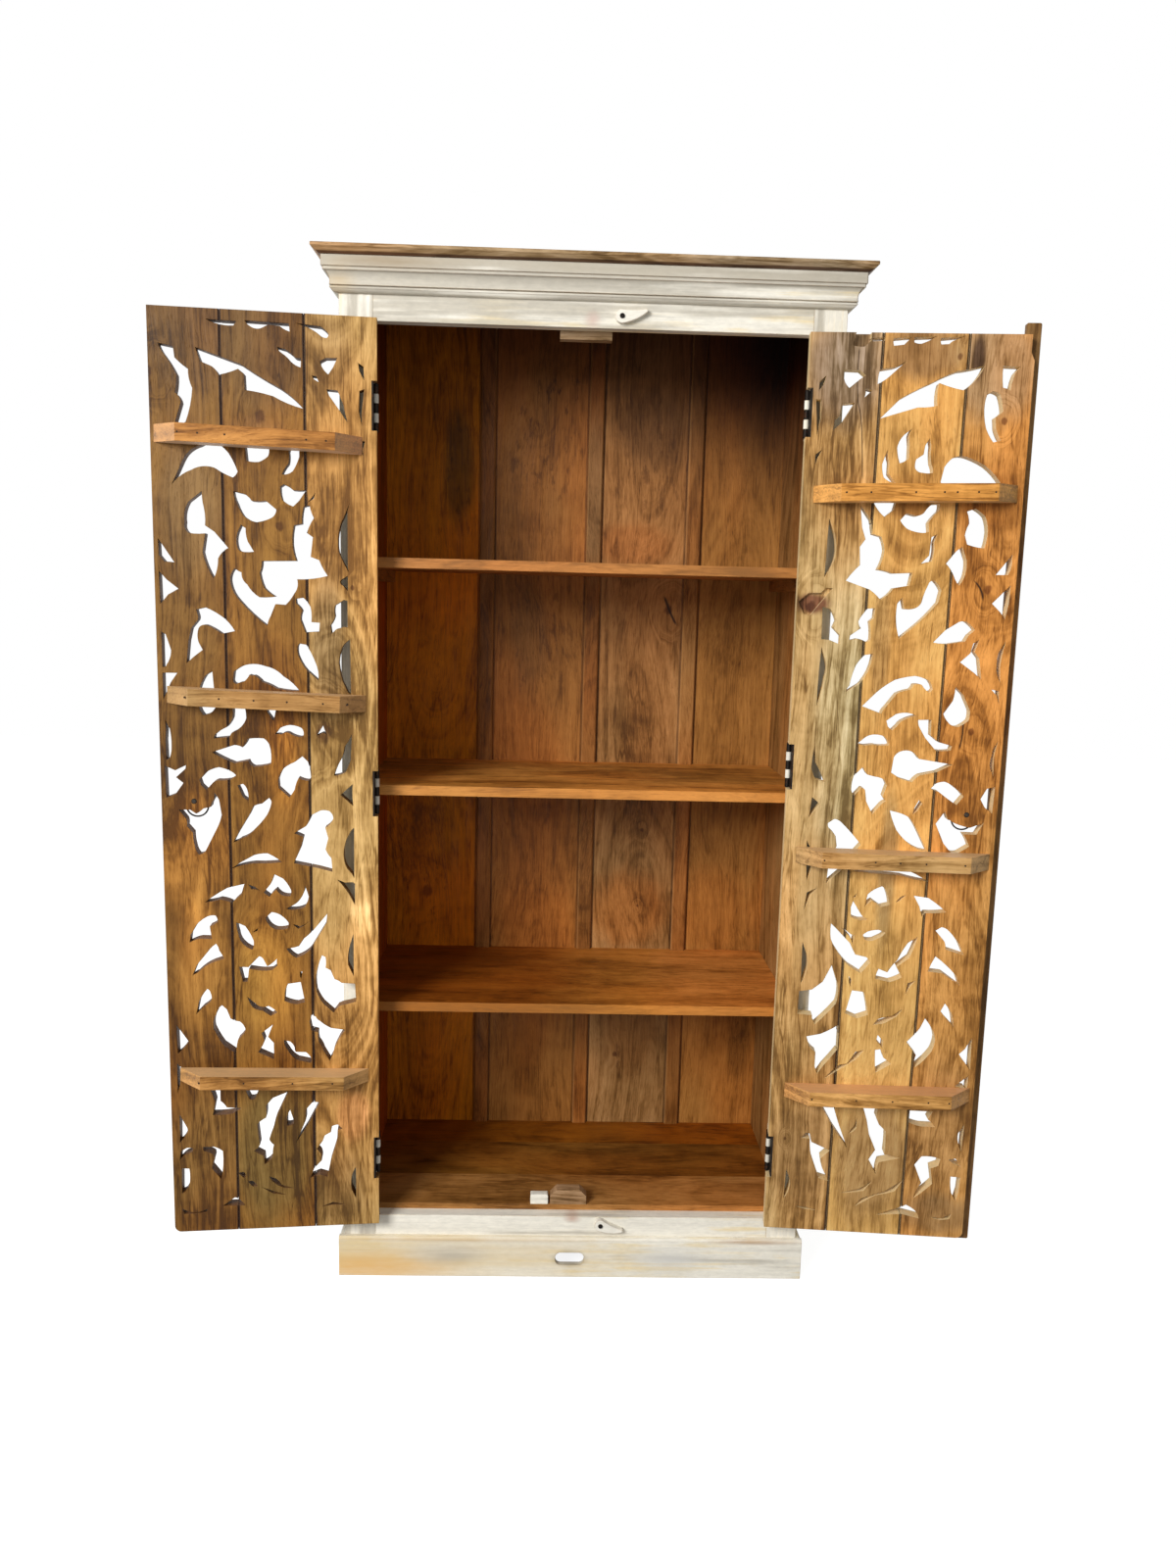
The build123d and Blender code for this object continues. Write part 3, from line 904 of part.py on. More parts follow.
def make_meeting_strip():
    """The strip on the right leaf that laps over the left leaf and over the frame."""
    low = rail_top - meeting_strip_below
    high = opening_top + meeting_strip_above
    round_rise = meeting_strip_corner * (1 - math.sqrt(0.5))
    outline = [
        (meeting_strip_left + meeting_strip_corner, low),
        (meeting_strip_right - meeting_strip_corner, low, round_rise),
        (meeting_strip_right, low + meeting_strip_corner),
        (meeting_strip_right, high - meeting_strip_corner, round_rise),
        (meeting_strip_right - meeting_strip_corner, high),
        (meeting_strip_left + meeting_strip_corner, high, round_rise),
        (meeting_strip_left, high - meeting_strip_corner),
        (meeting_strip_left, low + meeting_strip_corner, round_rise),
    ]
    strip = prism(outline, lambda x, z: Vector(x, -meeting_strip_thick, z),
                  (0, meeting_strip_thick - meeting_strip_clearance, 0))
    seat = block(leaf_x(1, leaf_width), meeting_strip_right, -meeting_strip_clearance * 2, 0,
                 leaf_bottom, leaf_top)
    save("right_door_meeting_strip", swing_open(1, strip + seat))


# ---------------------------------------------------------------- hinges
def knuckle_span(height, number):
    """Low and high end of one knuckle, counted from the hinge's lower end."""
    low = height - hinge_length / 2 + number * knuckle_length
    return low, low + knuckle_length


def pin_point(side, z):
    return (side * (opening_half - pin_inset), -pin_front, z)


def hinge_leaf(side, height, plate, numbers):
    """One hinge leaf: its flat plate and its own knuckles, cleared for the other leaf's."""
    leaf = plate
    for number in range(knuckle_count):
        low, high = knuckle_span(height, number)
        if number in numbers:
            leaf += rod(pin_point(side, low + knuckle_clearance / 2), (0, 0, 1), knuckle_radius,
                        knuckle_length - knuckle_clearance)
    for number in range(knuckle_count):
        low, high = knuckle_span(height, number)
        if number not in numbers:
            leaf -= rod(pin_point(side, low - knuckle_clearance / 2), (0, 0, 1),
                        knuckle_radius + knuckle_clearance, knuckle_length + knuckle_clearance)
    return leaf - rod(pin_point(side, height - hinge_length), (0, 0, 1), pin_hole_radius, 2 * hinge_length)


def screw_heights(height):
    return (height - screw_spacing, height, height + screw_spacing)


def countersunk(point, direction, extra=0.0):
    """A countersunk screw whose head lies flush at a point; extra widens it to make its hole."""
    head = cone_end(point, direction, screw_head_radius + extra, screw_radius + extra, screw_head_depth)
    return head + rod(point, direction, screw_radius + extra, hinge_leaf_thick + screw_grip + extra)


def frame_screw(side, z, extra=0.0):
    point = (side * (opening_half - hinge_leaf_thick), frame_thick / 2, z)
    return countersunk(point, (side, 0, 0), extra)


def frame_screw_holes(side, height):
    return [frame_screw(side, z, nail_clearance) for z in screw_heights(height)]


def door_screw(side, z, extra=0.0):
    point = (leaf_x(side, hinge_notch - hinge_leaf_thick), leaf_thick / 2, z)
    return countersunk(point, (-side, 0, 0), extra)


def door_screw_holes(side, height):
    return [door_screw(side, z, nail_clearance) for z in screw_heights(height)]


def make_hinges():
    pins = []
    frame_screws = []
    black_numbers = range(0, knuckle_count, 2)
    white_numbers = range(1, knuckle_count, 2)
    for name, side in (("left", -1), ("right", 1)):
        frame_leaves = []
        door_leaves = []
        door_screws = []
        for height in hinge_heights(side):
            low = height - hinge_length / 2
            high = height + hinge_length / 2
            plate = block(side * (opening_half - hinge_leaf_thick), side * opening_half,
                          leaf_start - pin_front, frame_thick, low, high)
            leaf = hinge_leaf(side, height, plate, white_numbers)
            frame_leaves.append(leaf - frame_screw_holes(side, height))
            plate = block(leaf_x(side, hinge_notch), leaf_x(side, hinge_notch - hinge_leaf_thick),
                          leaf_start - pin_front, leaf_thick, low, high)
            leaf = hinge_leaf(side, height, plate, black_numbers)
            door_leaves.append(swing_open(side, leaf - door_screw_holes(side, height)))
            frame_screws += [frame_screw(side, z) for z in screw_heights(height)]
            door_screws += [swing_open(side, door_screw(side, z)) for z in screw_heights(height)]
            pins.append(hinge_pin(side, low, high))
        save(name + "_frame_hinge_leaves", *frame_leaves)
        save(name + "_door_hinge_leaves", *door_leaves)
        save(name + "_door_hinge_screws", *door_screws)
    save("frame_hinge_screws", *frame_screws)
    save("hinge_pins", *pins)


def hinge_pin(side, low, high):
    """A pin with a round head above and below the knuckles."""
    pin = rod(pin_point(side, low), (0, 0, 1), pin_radius, high - low)
    for z, direction in ((high + knuckle_clearance / 2, 1), (low - knuckle_clearance / 2, -1)):
        pin += cone_end(pin_point(side, z), (0, 0, direction), pin_head_radius, pin_radius, pin_head_height)
    pin += rod(pin_point(side, low - knuckle_clearance), (0, 0, 1), pin_radius,
               high - low + 2 * knuckle_clearance)
    return pin


# ---------------------------------------------------------------- ring pulls
def make_ring_pull(name, side):
    """A ring that hangs on a peg, and the peg with its rose outside and its head inside."""
    across, z = ring_place(side)
    x = leaf_x(side, across)
    staple = rod((x, -peg_reach, z), (0, 1, 0), peg_radius, leaf_thick + peg_reach)
    staple += rod((x, -rose_thick, z), (0, 1, 0), rose_radius, rose_thick)
    staple += cone_end((x, leaf_thick, z), (0, 1, 0), peg_head_radius, peg_radius, peg_head_thick)
    staple += cone_end((x, -peg_reach, z), (0, -1, 0), knob_radius, peg_radius, knob_thick)
    save(name + "_door_ring_staple", swing_open(side, staple))
    centre = z + peg_radius + ring_clearance + ring_wire_radius - ring_radius
    ring_plane = Plane((x, -ring_stand_off, centre), z_dir=(0, 1, 0))
    ring = Solid.make_torus(ring_radius, ring_wire_radius, ring_plane)
    save(name + "_door_ring", swing_open(side, ring))


# ---------------------------------------------------------------- turn buttons
def upper_button_pivot():
    return upper_button_place[0], opening_top + upper_button_place[1]


def lower_button_pivot():
    return lower_button_place[0], rail_top - lower_button_place[1]


def button_pilot(x, z):
    return rod((x, -1, z), (0, 1, 0), button_screw_radius + nail_clearance, 1 + button_screw_grip)


def make_turn_button(name, pivot, angle):
    """A teardrop of wood on one screw; its rounder edge is its lower one."""
    x, z = pivot
    cosine = math.cos(math.radians(angle))
    sine = math.sin(math.radians(angle))

    def place(along, up):
        return Vector(x + along * cosine - up * sine, -button_clearance, z + along * sine + up * cosine)

    round_rise = button_radius * (1 - math.sqrt(0.5))
    outline = [(0, -button_radius, round_rise), (-button_radius, 0, round_rise),
               (0, button_radius, -button_hollow), (button_length, button_tip),
               (button_length, -button_tip, button_belly)]
    button = prism(outline, place, (0, -button_thick, 0))
    button = fillet(button.faces().sort_by(Axis.Y)[0].edges(), button_edge)
    hole = rod((x, -2 * button_thick, z), (0, 1, 0), button_hole_radius, 2 * button_thick)
    save(name + "_turn_button", button - hole)


def button_screw(pivot):
    x, z = pivot
    front = -button_clearance - button_thick
    screw = rod((x, front - button_clearance, z), (0, 1, 0), button_screw_radius,
                button_screw_grip + button_clearance - front)
    return screw + cone_end((x, front - button_clearance, z), (0, -1, 0), button_head_radius,
                            button_head_radius - button_edge, button_head_height)


def make_cabinet():
    make_face_frame()
    make_sides()
    make_top_board()
    make_cornice()
    make_plinth()
    make_back()
    make_floor()
    make_shelves()
    make_cleats()
    make_stops()
    make_leaf("left", -1, left_fret, [], left_drawing_widths, left_seams, 0.0, left_battens)
    make_leaf("right", 1, right_fret, right_hollows, right_drawing_widths, right_seams, right_leaf_lean,
              right_battens)
    make_meeting_strip()
    make_hinges()
    make_ring_pull("left", -1)
    make_ring_pull("right", 1)
    make_turn_button("upper", upper_button_pivot(), upper_button_angle)
    make_turn_button("lower", lower_button_pivot(), lower_button_angle)
    save("turn_button_screws", button_screw(upper_button_pivot()), button_screw(lower_button_pivot()))


make_cabinet()
os.makedirs("parts", exist_ok=True)
for part_name, part_solids in parts.items():
    shape = part_solids[0] if len(part_solids) == 1 else Compound(part_solids)
    export_step(shape, "parts/%s.step" % part_name)
print(len(parts), "parts written")
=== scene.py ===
"""A tall book cabinet with two pierced plank doors: its finish, its light and its camera.

Metres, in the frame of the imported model: X to the right, Y into the cabinet, Z up, with the
origin on the floor in the middle of the face frame's front plane.
"""
import math

import bpy
from mathutils import Matrix, Vector

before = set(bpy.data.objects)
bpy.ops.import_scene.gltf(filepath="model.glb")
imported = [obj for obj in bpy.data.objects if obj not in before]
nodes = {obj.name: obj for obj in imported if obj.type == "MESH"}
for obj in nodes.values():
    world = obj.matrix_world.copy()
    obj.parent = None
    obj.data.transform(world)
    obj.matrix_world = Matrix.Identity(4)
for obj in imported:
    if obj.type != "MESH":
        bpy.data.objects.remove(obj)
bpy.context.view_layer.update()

MM = 0.001


# ---------------------------------------------------------------- camera
CAMERA_PLACE = (-0.05635, -2.09952, 1.29179)
CAMERA_YAW = math.radians(-1.784)
CAMERA_PITCH = math.radians(-9.018)
CAMERA_ROLL = math.radians(-1.476)
CAMERA_LENS = 27.05       # millimetres, as is the sensor's longer side
CAMERA_SENSOR = 36.0
CAMERA_NEAR = 0.01
LEVEL_VIEW = Matrix(((1, 0, 0), (0, 0, -1), (0, 1, 0)))    # looks along Y, with Z up


def make_camera():
    turn = (Matrix.Rotation(CAMERA_YAW, 3, "Z") @ Matrix.Rotation(CAMERA_PITCH, 3, "X")
            @ Matrix.Rotation(CAMERA_ROLL, 3, "Y"))
    data = bpy.data.cameras.new("camera")
    data.lens = CAMERA_LENS
    data.sensor_width = CAMERA_SENSOR
    data.clip_start = CAMERA_NEAR
    camera = bpy.data.objects.new("camera", data)
    camera.matrix_world = Matrix.Translation(CAMERA_PLACE) @ (turn @ LEVEL_VIEW).to_4x4()
    bpy.context.scene.collection.objects.link(camera)
    bpy.context.scene.camera = camera


make_camera()


# ---------------------------------------------------------------- node trees
class Shader:
    """The node tree of a material or a world, with a method for each kind of step."""

    def __init__(self, owner):
        owner.use_nodes = True
        self.owner = owner
        self.tree = owner.node_tree
        self.tree.nodes.clear()

    def feed(self, socket, value):
        if isinstance(value, bpy.types.NodeSocket):
            self.tree.links.new(value, socket)
        else:
            socket.default_value = value

    def node(self, kind, inputs=None, **settings):
        made = self.tree.nodes.new("ShaderNode" + kind)
        for key, value in settings.items():
            setattr(made, key, value)
        for key, value in (inputs or {}).items():
            self.feed(made.inputs[key], value)
        return made

    def math(self, operation, first, second=0.0, third=0.0):
        return self.node("Math", {0: first, 1: second, 2: third}, operation=operation).outputs[0]

    def times(self, first, second):
        return self.math("MULTIPLY", first, second)

    def less(self, first, second):
        return self.math("SUBTRACT", first, second)

    def plus(self, total, layer, weight):
        """The total and the layer times its weight."""
        return self.math("MULTIPLY_ADD", layer, weight, total)

    def distance(self, first, second):
        """How far a point lies from 0 when its two coordinates are given."""
        return self.math("SQRT", self.plus(self.times(second, second), first, first))

    def vector(self, operation, first, second):
        made = self.node("VectorMath", {0: first, 1: second}, operation=operation)
        return made.outputs["Value" if operation == "DOT_PRODUCT" else "Vector"]

    def step(self, value, start, end, low=0.0, high=1.0):
        """Runs smoothly from low to high as value goes from start to end."""
        made = self.node("MapRange", {"Value": value, "From Min": start, "From Max": end,
                                      "To Min": low, "To Max": high},
                         interpolation_type="SMOOTHSTEP")
        return made.outputs["Result"]

    def scale(self, value, start, end, low=0.0, high=1.0):
        """Runs straight from low to high as value goes from start to end."""
        made = self.node("MapRange", {"Value": value, "From Min": start, "From Max": end,
                                      "To Min": low, "To Max": high})
        return made.outputs["Result"]

    def mix(self, share, first, second, blend="MIX"):
        made = self.node("Mix", data_type="RGBA", blend_type=blend)
        self.feed(made.inputs["Factor"], share)
        self.feed(made.inputs[6], first)
        self.feed(made.inputs[7], second)
        return made.outputs[2]

    def ramp(self, value, stops):
        made = self.node("ValToRGB", {"Fac": value})
        elements = made.color_ramp.elements
        elements[0].position, elements[0].color = stops[0]
        elements[1].position, elements[1].color = stops[-1]
        for position, colour in stops[1:-1]:
            elements.new(position).color = colour
        return made.outputs["Color"]

    def noise(self, place, stretch, detail, rough=0.5, warp=0.0):
        """Noise from 0 to 1; stretch is how many features a metre holds along each axis."""
        spread = self.vector("MULTIPLY", place, stretch)
        made = self.node("TexNoise", {"Vector": spread, "Scale": 1.0, "Detail": detail,
                                      "Roughness": rough, "Distortion": warp})
        return made.outputs["Fac"]

    def finish(self, colour, roughness, height, depth, soft_normal, **fixed):
        """Closes the tree with a surface; fixed names sockets that are the same all over."""
        bump = self.node("Bump", {"Height": height, "Strength": 1.0, "Distance": depth,
                                  "Normal": soft_normal})
        surface = self.node("BsdfPrincipled", {"Base Color": colour, "Roughness": roughness,
                                               "Normal": bump.outputs[0]})
        for key, value in fixed.items():
            surface.inputs[key.replace("_", " ")].default_value = value
        self.node("OutputMaterial", {"Surface": surface.outputs[0]})
        return self.owner


SCREEN_TOP = 255.0
SCREEN_GAMMA = 2.2


def rgb(*levels):
    """A colour given as it looks on a screen, 0 to 255, for a socket."""
    return tuple((level / SCREEN_TOP) ** SCREEN_GAMMA for level in levels) + (1.0,)


# ---------------------------------------------------------------- board frames
# Each board's pattern runs in its own frame: u across, v through, w along the grain.
QUARTER = math.radians(90.0)


def board_frame(turn, location=(0.0, 0.0, 0.0), mirrored=False):
    return {"rotation": tuple(turn), "location": tuple(location),
            "scale": (-1.0 if mirrored else 1.0, 1.0, 1.0)}


UPRIGHT = board_frame((0.0, 0.0, 0.0))             # u is X, v is Y, w is Z
LENGTHWISE = board_frame((0.0, -QUARTER, 0.0))     # u is minus Z, v is Y, w is X
FLAT = board_frame(Matrix(((0, 1, 0), (0, 0, 1), (1, 0, 0))).to_euler())    # u is Y, v is Z
INWARD = board_frame((QUARTER, 0.0, 0.0))          # u is X, v is minus Z, w is Y

LEFT_PIN = Vector((-0.3692, -0.0048, 0.0))
LEAF_EDGE = 0.3721        # the leaf's hinge edge, from the middle of the opening


def leaf_frame(mirrored, angle):
    """u runs across the leaf from its hinge edge, v through it, w up it."""
    turn = Matrix.Rotation(math.radians(angle), 3, "Z")
    place = LEFT_PIN - turn @ LEFT_PIN + Vector((LEAF_EDGE, 0.0, 0.0))
    return board_frame((0.0, 0.0, math.radians(angle)), place, mirrored)


def across_leaf(leaf):
    """The leaf's frame for a batten: u is minus the height, w runs across the leaf."""
    return dict(leaf, across=True)


LEFT_LEAF = leaf_frame(False, 174.2)
RIGHT_LEAF = leaf_frame(True, 174.65)
LEFT_ACROSS = across_leaf(LEFT_LEAF)
RIGHT_ACROSS = across_leaf(RIGHT_LEAF)


# ---------------------------------------------------------------- boards
# A layer of noise: how many features a metre holds along u, v and w, then its detail, its
# roughness and its distortion.
NOISE_MIDDLE = 0.5
STRAY = ((26.0, 26.0, 9.0), 3.0, 0.6)              # frays the rims of large spots
CRUMB = ((110.0, 110.0, 70.0), 3.0, 0.6)           # frays the rims of small ones
LARGE_SPOT = 0.03
SPOT_FADE = (1.12, 0.5)                            # where a ragged spot starts and is full
SEED_STEPS = (3.17, 1.93, 5.71)                    # how far a seed moves the pattern
EDGE_LIKENESS = (0.995, 0.80)                      # of the rounded normal to the flat one
WHOLE = 9.0               # the size of a spot that takes in all of a board

BRUSH = ((120.0, 120.0, 3.2), 4.0, 0.62)
PAINT_STREAK = ((42.0, 42.0, 2.4), 3.0, 0.6)
PAINT_CLOUD = ((11.0, 11.0, 4.0), 4.0, 0.6)
PAINT_DRIFT = ((5.0, 5.0, 1.9), 3.0, 0.55)
PAINT_FLECK = ((170.0, 170.0, 60.0), 4.0, 0.65)
RUB = ((34.0, 34.0, 8.0), 6.0, 0.68, 0.3)
PATCHY = (0.7, 1.25, 0.25, 1.0)                    # how a patch of paint takes up the streaks
PAINT_ROUND = 2.2 * MM
PAINT_RELIEF = 0.30 * MM
PAINT_ROUGHNESS = (0.3, 0.7, 0.52, 0.70)

CREAM = rgb(243, 238, 224)
CREAM_YELLOW = rgb(232, 212, 166)
CREAM_GREY = rgb(186, 179, 164)
BARE_WOOD = rgb(190, 146, 94)
BARE_DARK = rgb(128, 94, 62)


class Board(Shader):
    """A material's tree with the board's own coordinates to hand."""

    def __init__(self, name, board, seed):
        super().__init__(bpy.data.materials.new(name))
        texture = self.node("TexCoord")
        place = self.node("Mapping", {"Vector": texture.outputs["Object"],
                                      "Rotation": board["rotation"],
                                      "Location": board["location"],
                                      "Scale": board["scale"]}, vector_type="POINT").outputs[0]
        facing = self.node("Mapping", {"Vector": texture.outputs["Normal"],
                                       "Rotation": board["rotation"],
                                       "Scale": board["scale"]}, vector_type="POINT").outputs[0]
        if board.get("across"):
            place, facing = self.laid(place), self.laid(facing)
        self.facing = facing
        self.u, self.v, self.w = self.node("SeparateXYZ", {0: place}).outputs
        self.grain = self.vector("ADD", place, tuple(seed * step for step in SEED_STEPS))
        self.stray = self.centred(*STRAY)
        self.crumb = self.centred(*CRUMB)

    def laid(self, vector):
        """A vector of the upright leaf in the frame of a batten that lies across it."""
        made = self.node("Mapping", {"Rotation": (0.0, -QUARTER, 0.0), "Vector": vector},
                         vector_type="POINT")
        return made.outputs[0]

    def soft_edges(self, radius):
        """The rounded normal, and how near the surface is to an edge, from 0 to 1."""
        rounded = self.node("Bevel", {"Radius": radius}, samples=4).outputs[0]
        flat = self.node("NewGeometry").outputs["True Normal"]
        likeness = self.vector("DOT_PRODUCT", rounded, flat)
        return rounded, self.scale(likeness, *EDGE_LIKENESS)

    def centred(self, *layer):
        """Noise along the board's own grain, from about -0.5 to 0.5."""
        return self.less(self.noise(self.grain, *layer), NOISE_MIDDLE)

    def oval(self, centre, size):
        """0 in the middle of an oval on the board's face and 1 at its rim."""
        across = self.math("DIVIDE", self.less(self.u, centre[0]), size[0])
        along = self.math("DIVIDE", self.less(self.w, centre[1]), size[1])
        return self.distance(across, along)

    def spot(self, centre, size, ragged=0.5):
        """1 in the middle of an oval on the board's face, fading to 0 at its ragged rim."""
        stray = self.stray if max(size) > LARGE_SPOT else self.crumb
        return self.step(self.plus(self.oval(centre, size), stray, ragged), *SPOT_FADE)

    def haze(self, centre, size):
        """1 in the middle of an oval on the board's face, fading evenly to 0 at its rim."""
        return self.step(self.oval(centre, size), 1.0, 0.0)

    def line(self, foot, head, low, high, width):
        """1 on a straight line up the board, from foot at the height low to head at high."""
        middle = self.scale(self.w, low, high, foot, head)
        return self.step(self.math("ABSOLUTE", self.less(self.u, middle)), width, 0.6 * width)

    def stroke(self, points, width):
        """1 on a thin line on the board's face through (u, w) points, from the top down."""
        margin = 0.01
        top, bottom = points[0][1], points[-1][1]
        left = min(point[0] for point in points) - margin
        span = max(point[0] for point in points) + margin - left
        curve = self.node("FloatCurve", {"Value": self.scale(self.w, top, bottom)})
        knots = curve.mapping.curves[0].points
        knots[0].location = (0.0, (points[0][0] - left) / span)
        knots[1].location = (1.0, (points[-1][0] - left) / span)
        for u, w in points[1:-1]:
            knots.new((top - w) / (top - bottom), (u - left) / span)
        curve.mapping.update()
        line = self.math("MULTIPLY_ADD", curve.outputs[0], span, left)
        gap = self.math("ABSOLUTE", self.less(self.u, line))
        inside = self.times(self.step(self.w, bottom, bottom + margin),
                            self.step(self.w, top, top - margin))
        return self.times(self.step(gap, width, width * 0.3), inside)

    def tinted(self, colour, share, tint):
        """Multiplies a colour by a tint, by a share, so that the grain stays."""
        return self.mix(share, colour, self.mix(1.0, colour, tint, "MULTIPLY"))

    def painted(self, near_edge, wear, yellowed, grime, patches=(), edge_wear=0.5):
        """Cream paint brushed thinly over wood and rubbed back: its colour, its brush marks and
        how bare it is.  Wear bares the wood, yellowed lets it show through, and grime greys it;
        each patch drifts to a colour of its own."""
        brush = self.noise(self.grain, *BRUSH)
        streak = self.noise(self.grain, *PAINT_STREAK)
        cloud = self.noise(self.grain, *PAINT_CLOUD)
        drift = self.noise(self.grain, *PAINT_DRIFT)
        fleck = self.noise(self.grain, *PAINT_FLECK)
        rub = self.noise(self.grain, *RUB)

        thin = self.plus(self.times(brush, 0.4), cloud, 0.6)
        thin = self.plus(thin, near_edge, 0.16)
        eased = 0.16 * yellowed
        colour = self.mix(self.step(thin, 0.60 - eased, 0.72 - eased, 0.0, 0.9),
                          CREAM, CREAM_YELLOW)
        grey = self.plus(self.times(drift, 0.45), streak, 0.55)
        eased = 0.16 * grime
        colour = self.mix(self.step(grey, 0.58 - eased, 0.70 - eased, 0.0, 0.85),
                          colour, CREAM_GREY)
        fine = self.plus(self.times(brush, 0.5), fleck, 0.5)
        fine = self.scale(fine, 0.38, 0.62, 0.86, 1.05)
        shade = self.node("CombineColor", {0: fine, 1: fine, 2: fine}).outputs[0]
        colour = self.mix(1.0, colour, shade, "MULTIPLY")
        bare = self.plus(self.times(fleck, 0.38), rub, 0.62)
        bare = self.plus(bare, near_edge, 0.34 * edge_wear)
        timber = self.mix(brush, BARE_DARK, BARE_WOOD)
        eased = 0.12 * wear
        worn = self.step(bare, 0.69 - eased, 0.76 - eased, 0.0, 0.85)
        colour = self.mix(worn, colour, timber)
        for centre, size, target, share in patches:
            patchy = self.scale(self.math("ADD", streak, cloud), *PATCHY)
            mask = self.times(self.times(self.haze(centre, size), patchy), share)
            colour = self.mix(mask, colour, rgb(*target))
        return colour, brush, worn


# ---------------------------------------------------------------- wood
RIPPLE = ((20.0, 20.0, 5.0), 3.0, 0.55)            # waves in the rings and the streaks
WANDER = ((3.0, 3.0, 1.8), 1.0)                    # strays of the heart line, across the board
DEPTH = ((2.5, 2.5, 1.7), 1.0)                     # and through it
BROAD = ((26.0, 26.0, 2.4), 3.0, 0.55)
STREAK = ((90.0, 90.0, 6.0), 4.0, 0.62)
STRAND = ((210.0, 210.0, 9.0), 3.0, 0.6)
FIBRE = ((430.0, 430.0, 14.0), 3.0, 0.65)
PORES = ((800.0, 800.0, 50.0), 2.0, 0.5)
CLOUD = ((7.0, 7.0, 3.4), 3.0, 0.55)
BLOTCH = ((32.0, 32.0, 14.0), 4.0, 0.62, 0.5)
CURL = ((16.0, 16.0, 44.0), 2.0, 0.5)
WARMTH = ((4.5, 4.5, 1.8), 2.0)
SPECKLE = ((70.0, 70.0, 20.0), 4.0, 0.68)

# the values of a layer between which a feature of the wood comes in
VEIN_FADE = (0.022, 0.004)
PORE_FADE = (0.60, 0.72)
WARM_FADE = (-0.10, 0.12)
SPECKLE_FADE = (0.54, 0.64)
SAWN_FADE = (0.35, 0.8)
RUBBED_FADE = (0.38, 0.6)
OUTER_FADE = (0.4, 0.6)

# how far each colour channel of the darkest, the dark and the pale wood lies from the middle
DARK_SHIFT = (-0.42, -0.47, -0.56)
DEEP_SHIFT = (-0.20, -0.23, -0.30)
PALE_SHIFT = (0.20, 0.24, 0.33)
PALEST = 252.0

COOL_HUE = (0.94, 0.99, 0.98, 1.0)
WARM_HUE = (1.08, 0.97, 0.82, 1.0)
PORE_TINT = (0.42, 0.35, 0.29, 1.0)
# painted shade: the near-black red that the inside is darkened towards where shade falls
PAINTED_SHADE_TINT = (0.16, 0.06, 0.035, 1.0)
KNOT_TINT = (0.30, 0.20, 0.16, 1.0)
FLECK_TINT = (0.42, 0.36, 0.30, 1.0)
CRACK_TONE = rgb(44, 28, 20)
# A seam here is a dark joint between planks, and on the back boards a line of painted shade
# beside a cover strip.
SEAM_AND_SHADE_TONE = rgb(32, 14, 12)
JOINT_LOW, JOINT_HIGH = 0.120, 1.742     # the heights at which the ends of a joint are given
SEAM_AND_SHADE_WIDTH = 3.2 * MM
WOOD_ROUND = 1.6 * MM
WOOD_RELIEF = 0.35 * MM
WOOD_ROUGHNESS = (-0.2, 0.3, 0.42, 0.64)
COAT = {"wear": 0.45, "yellowed": 0.6, "grime": 0.7, "edge_wear": 1.2}    # of a painted face


def shifted(middle, shift, amount):
    """A colour, 0 to 255, with each channel moved by its own share."""
    return rgb(*(min(PALEST, level * (1.0 + share * amount))
                 for level, share in zip(middle, shift)))


def tint_towards(colour, target):
    """The tint that turns a wood's middle colour into a target colour."""
    return tuple(min(2.0, wanted / max(own, 0.01))
                 for wanted, own in zip(target[:3], colour[:3])) + (1.0,)


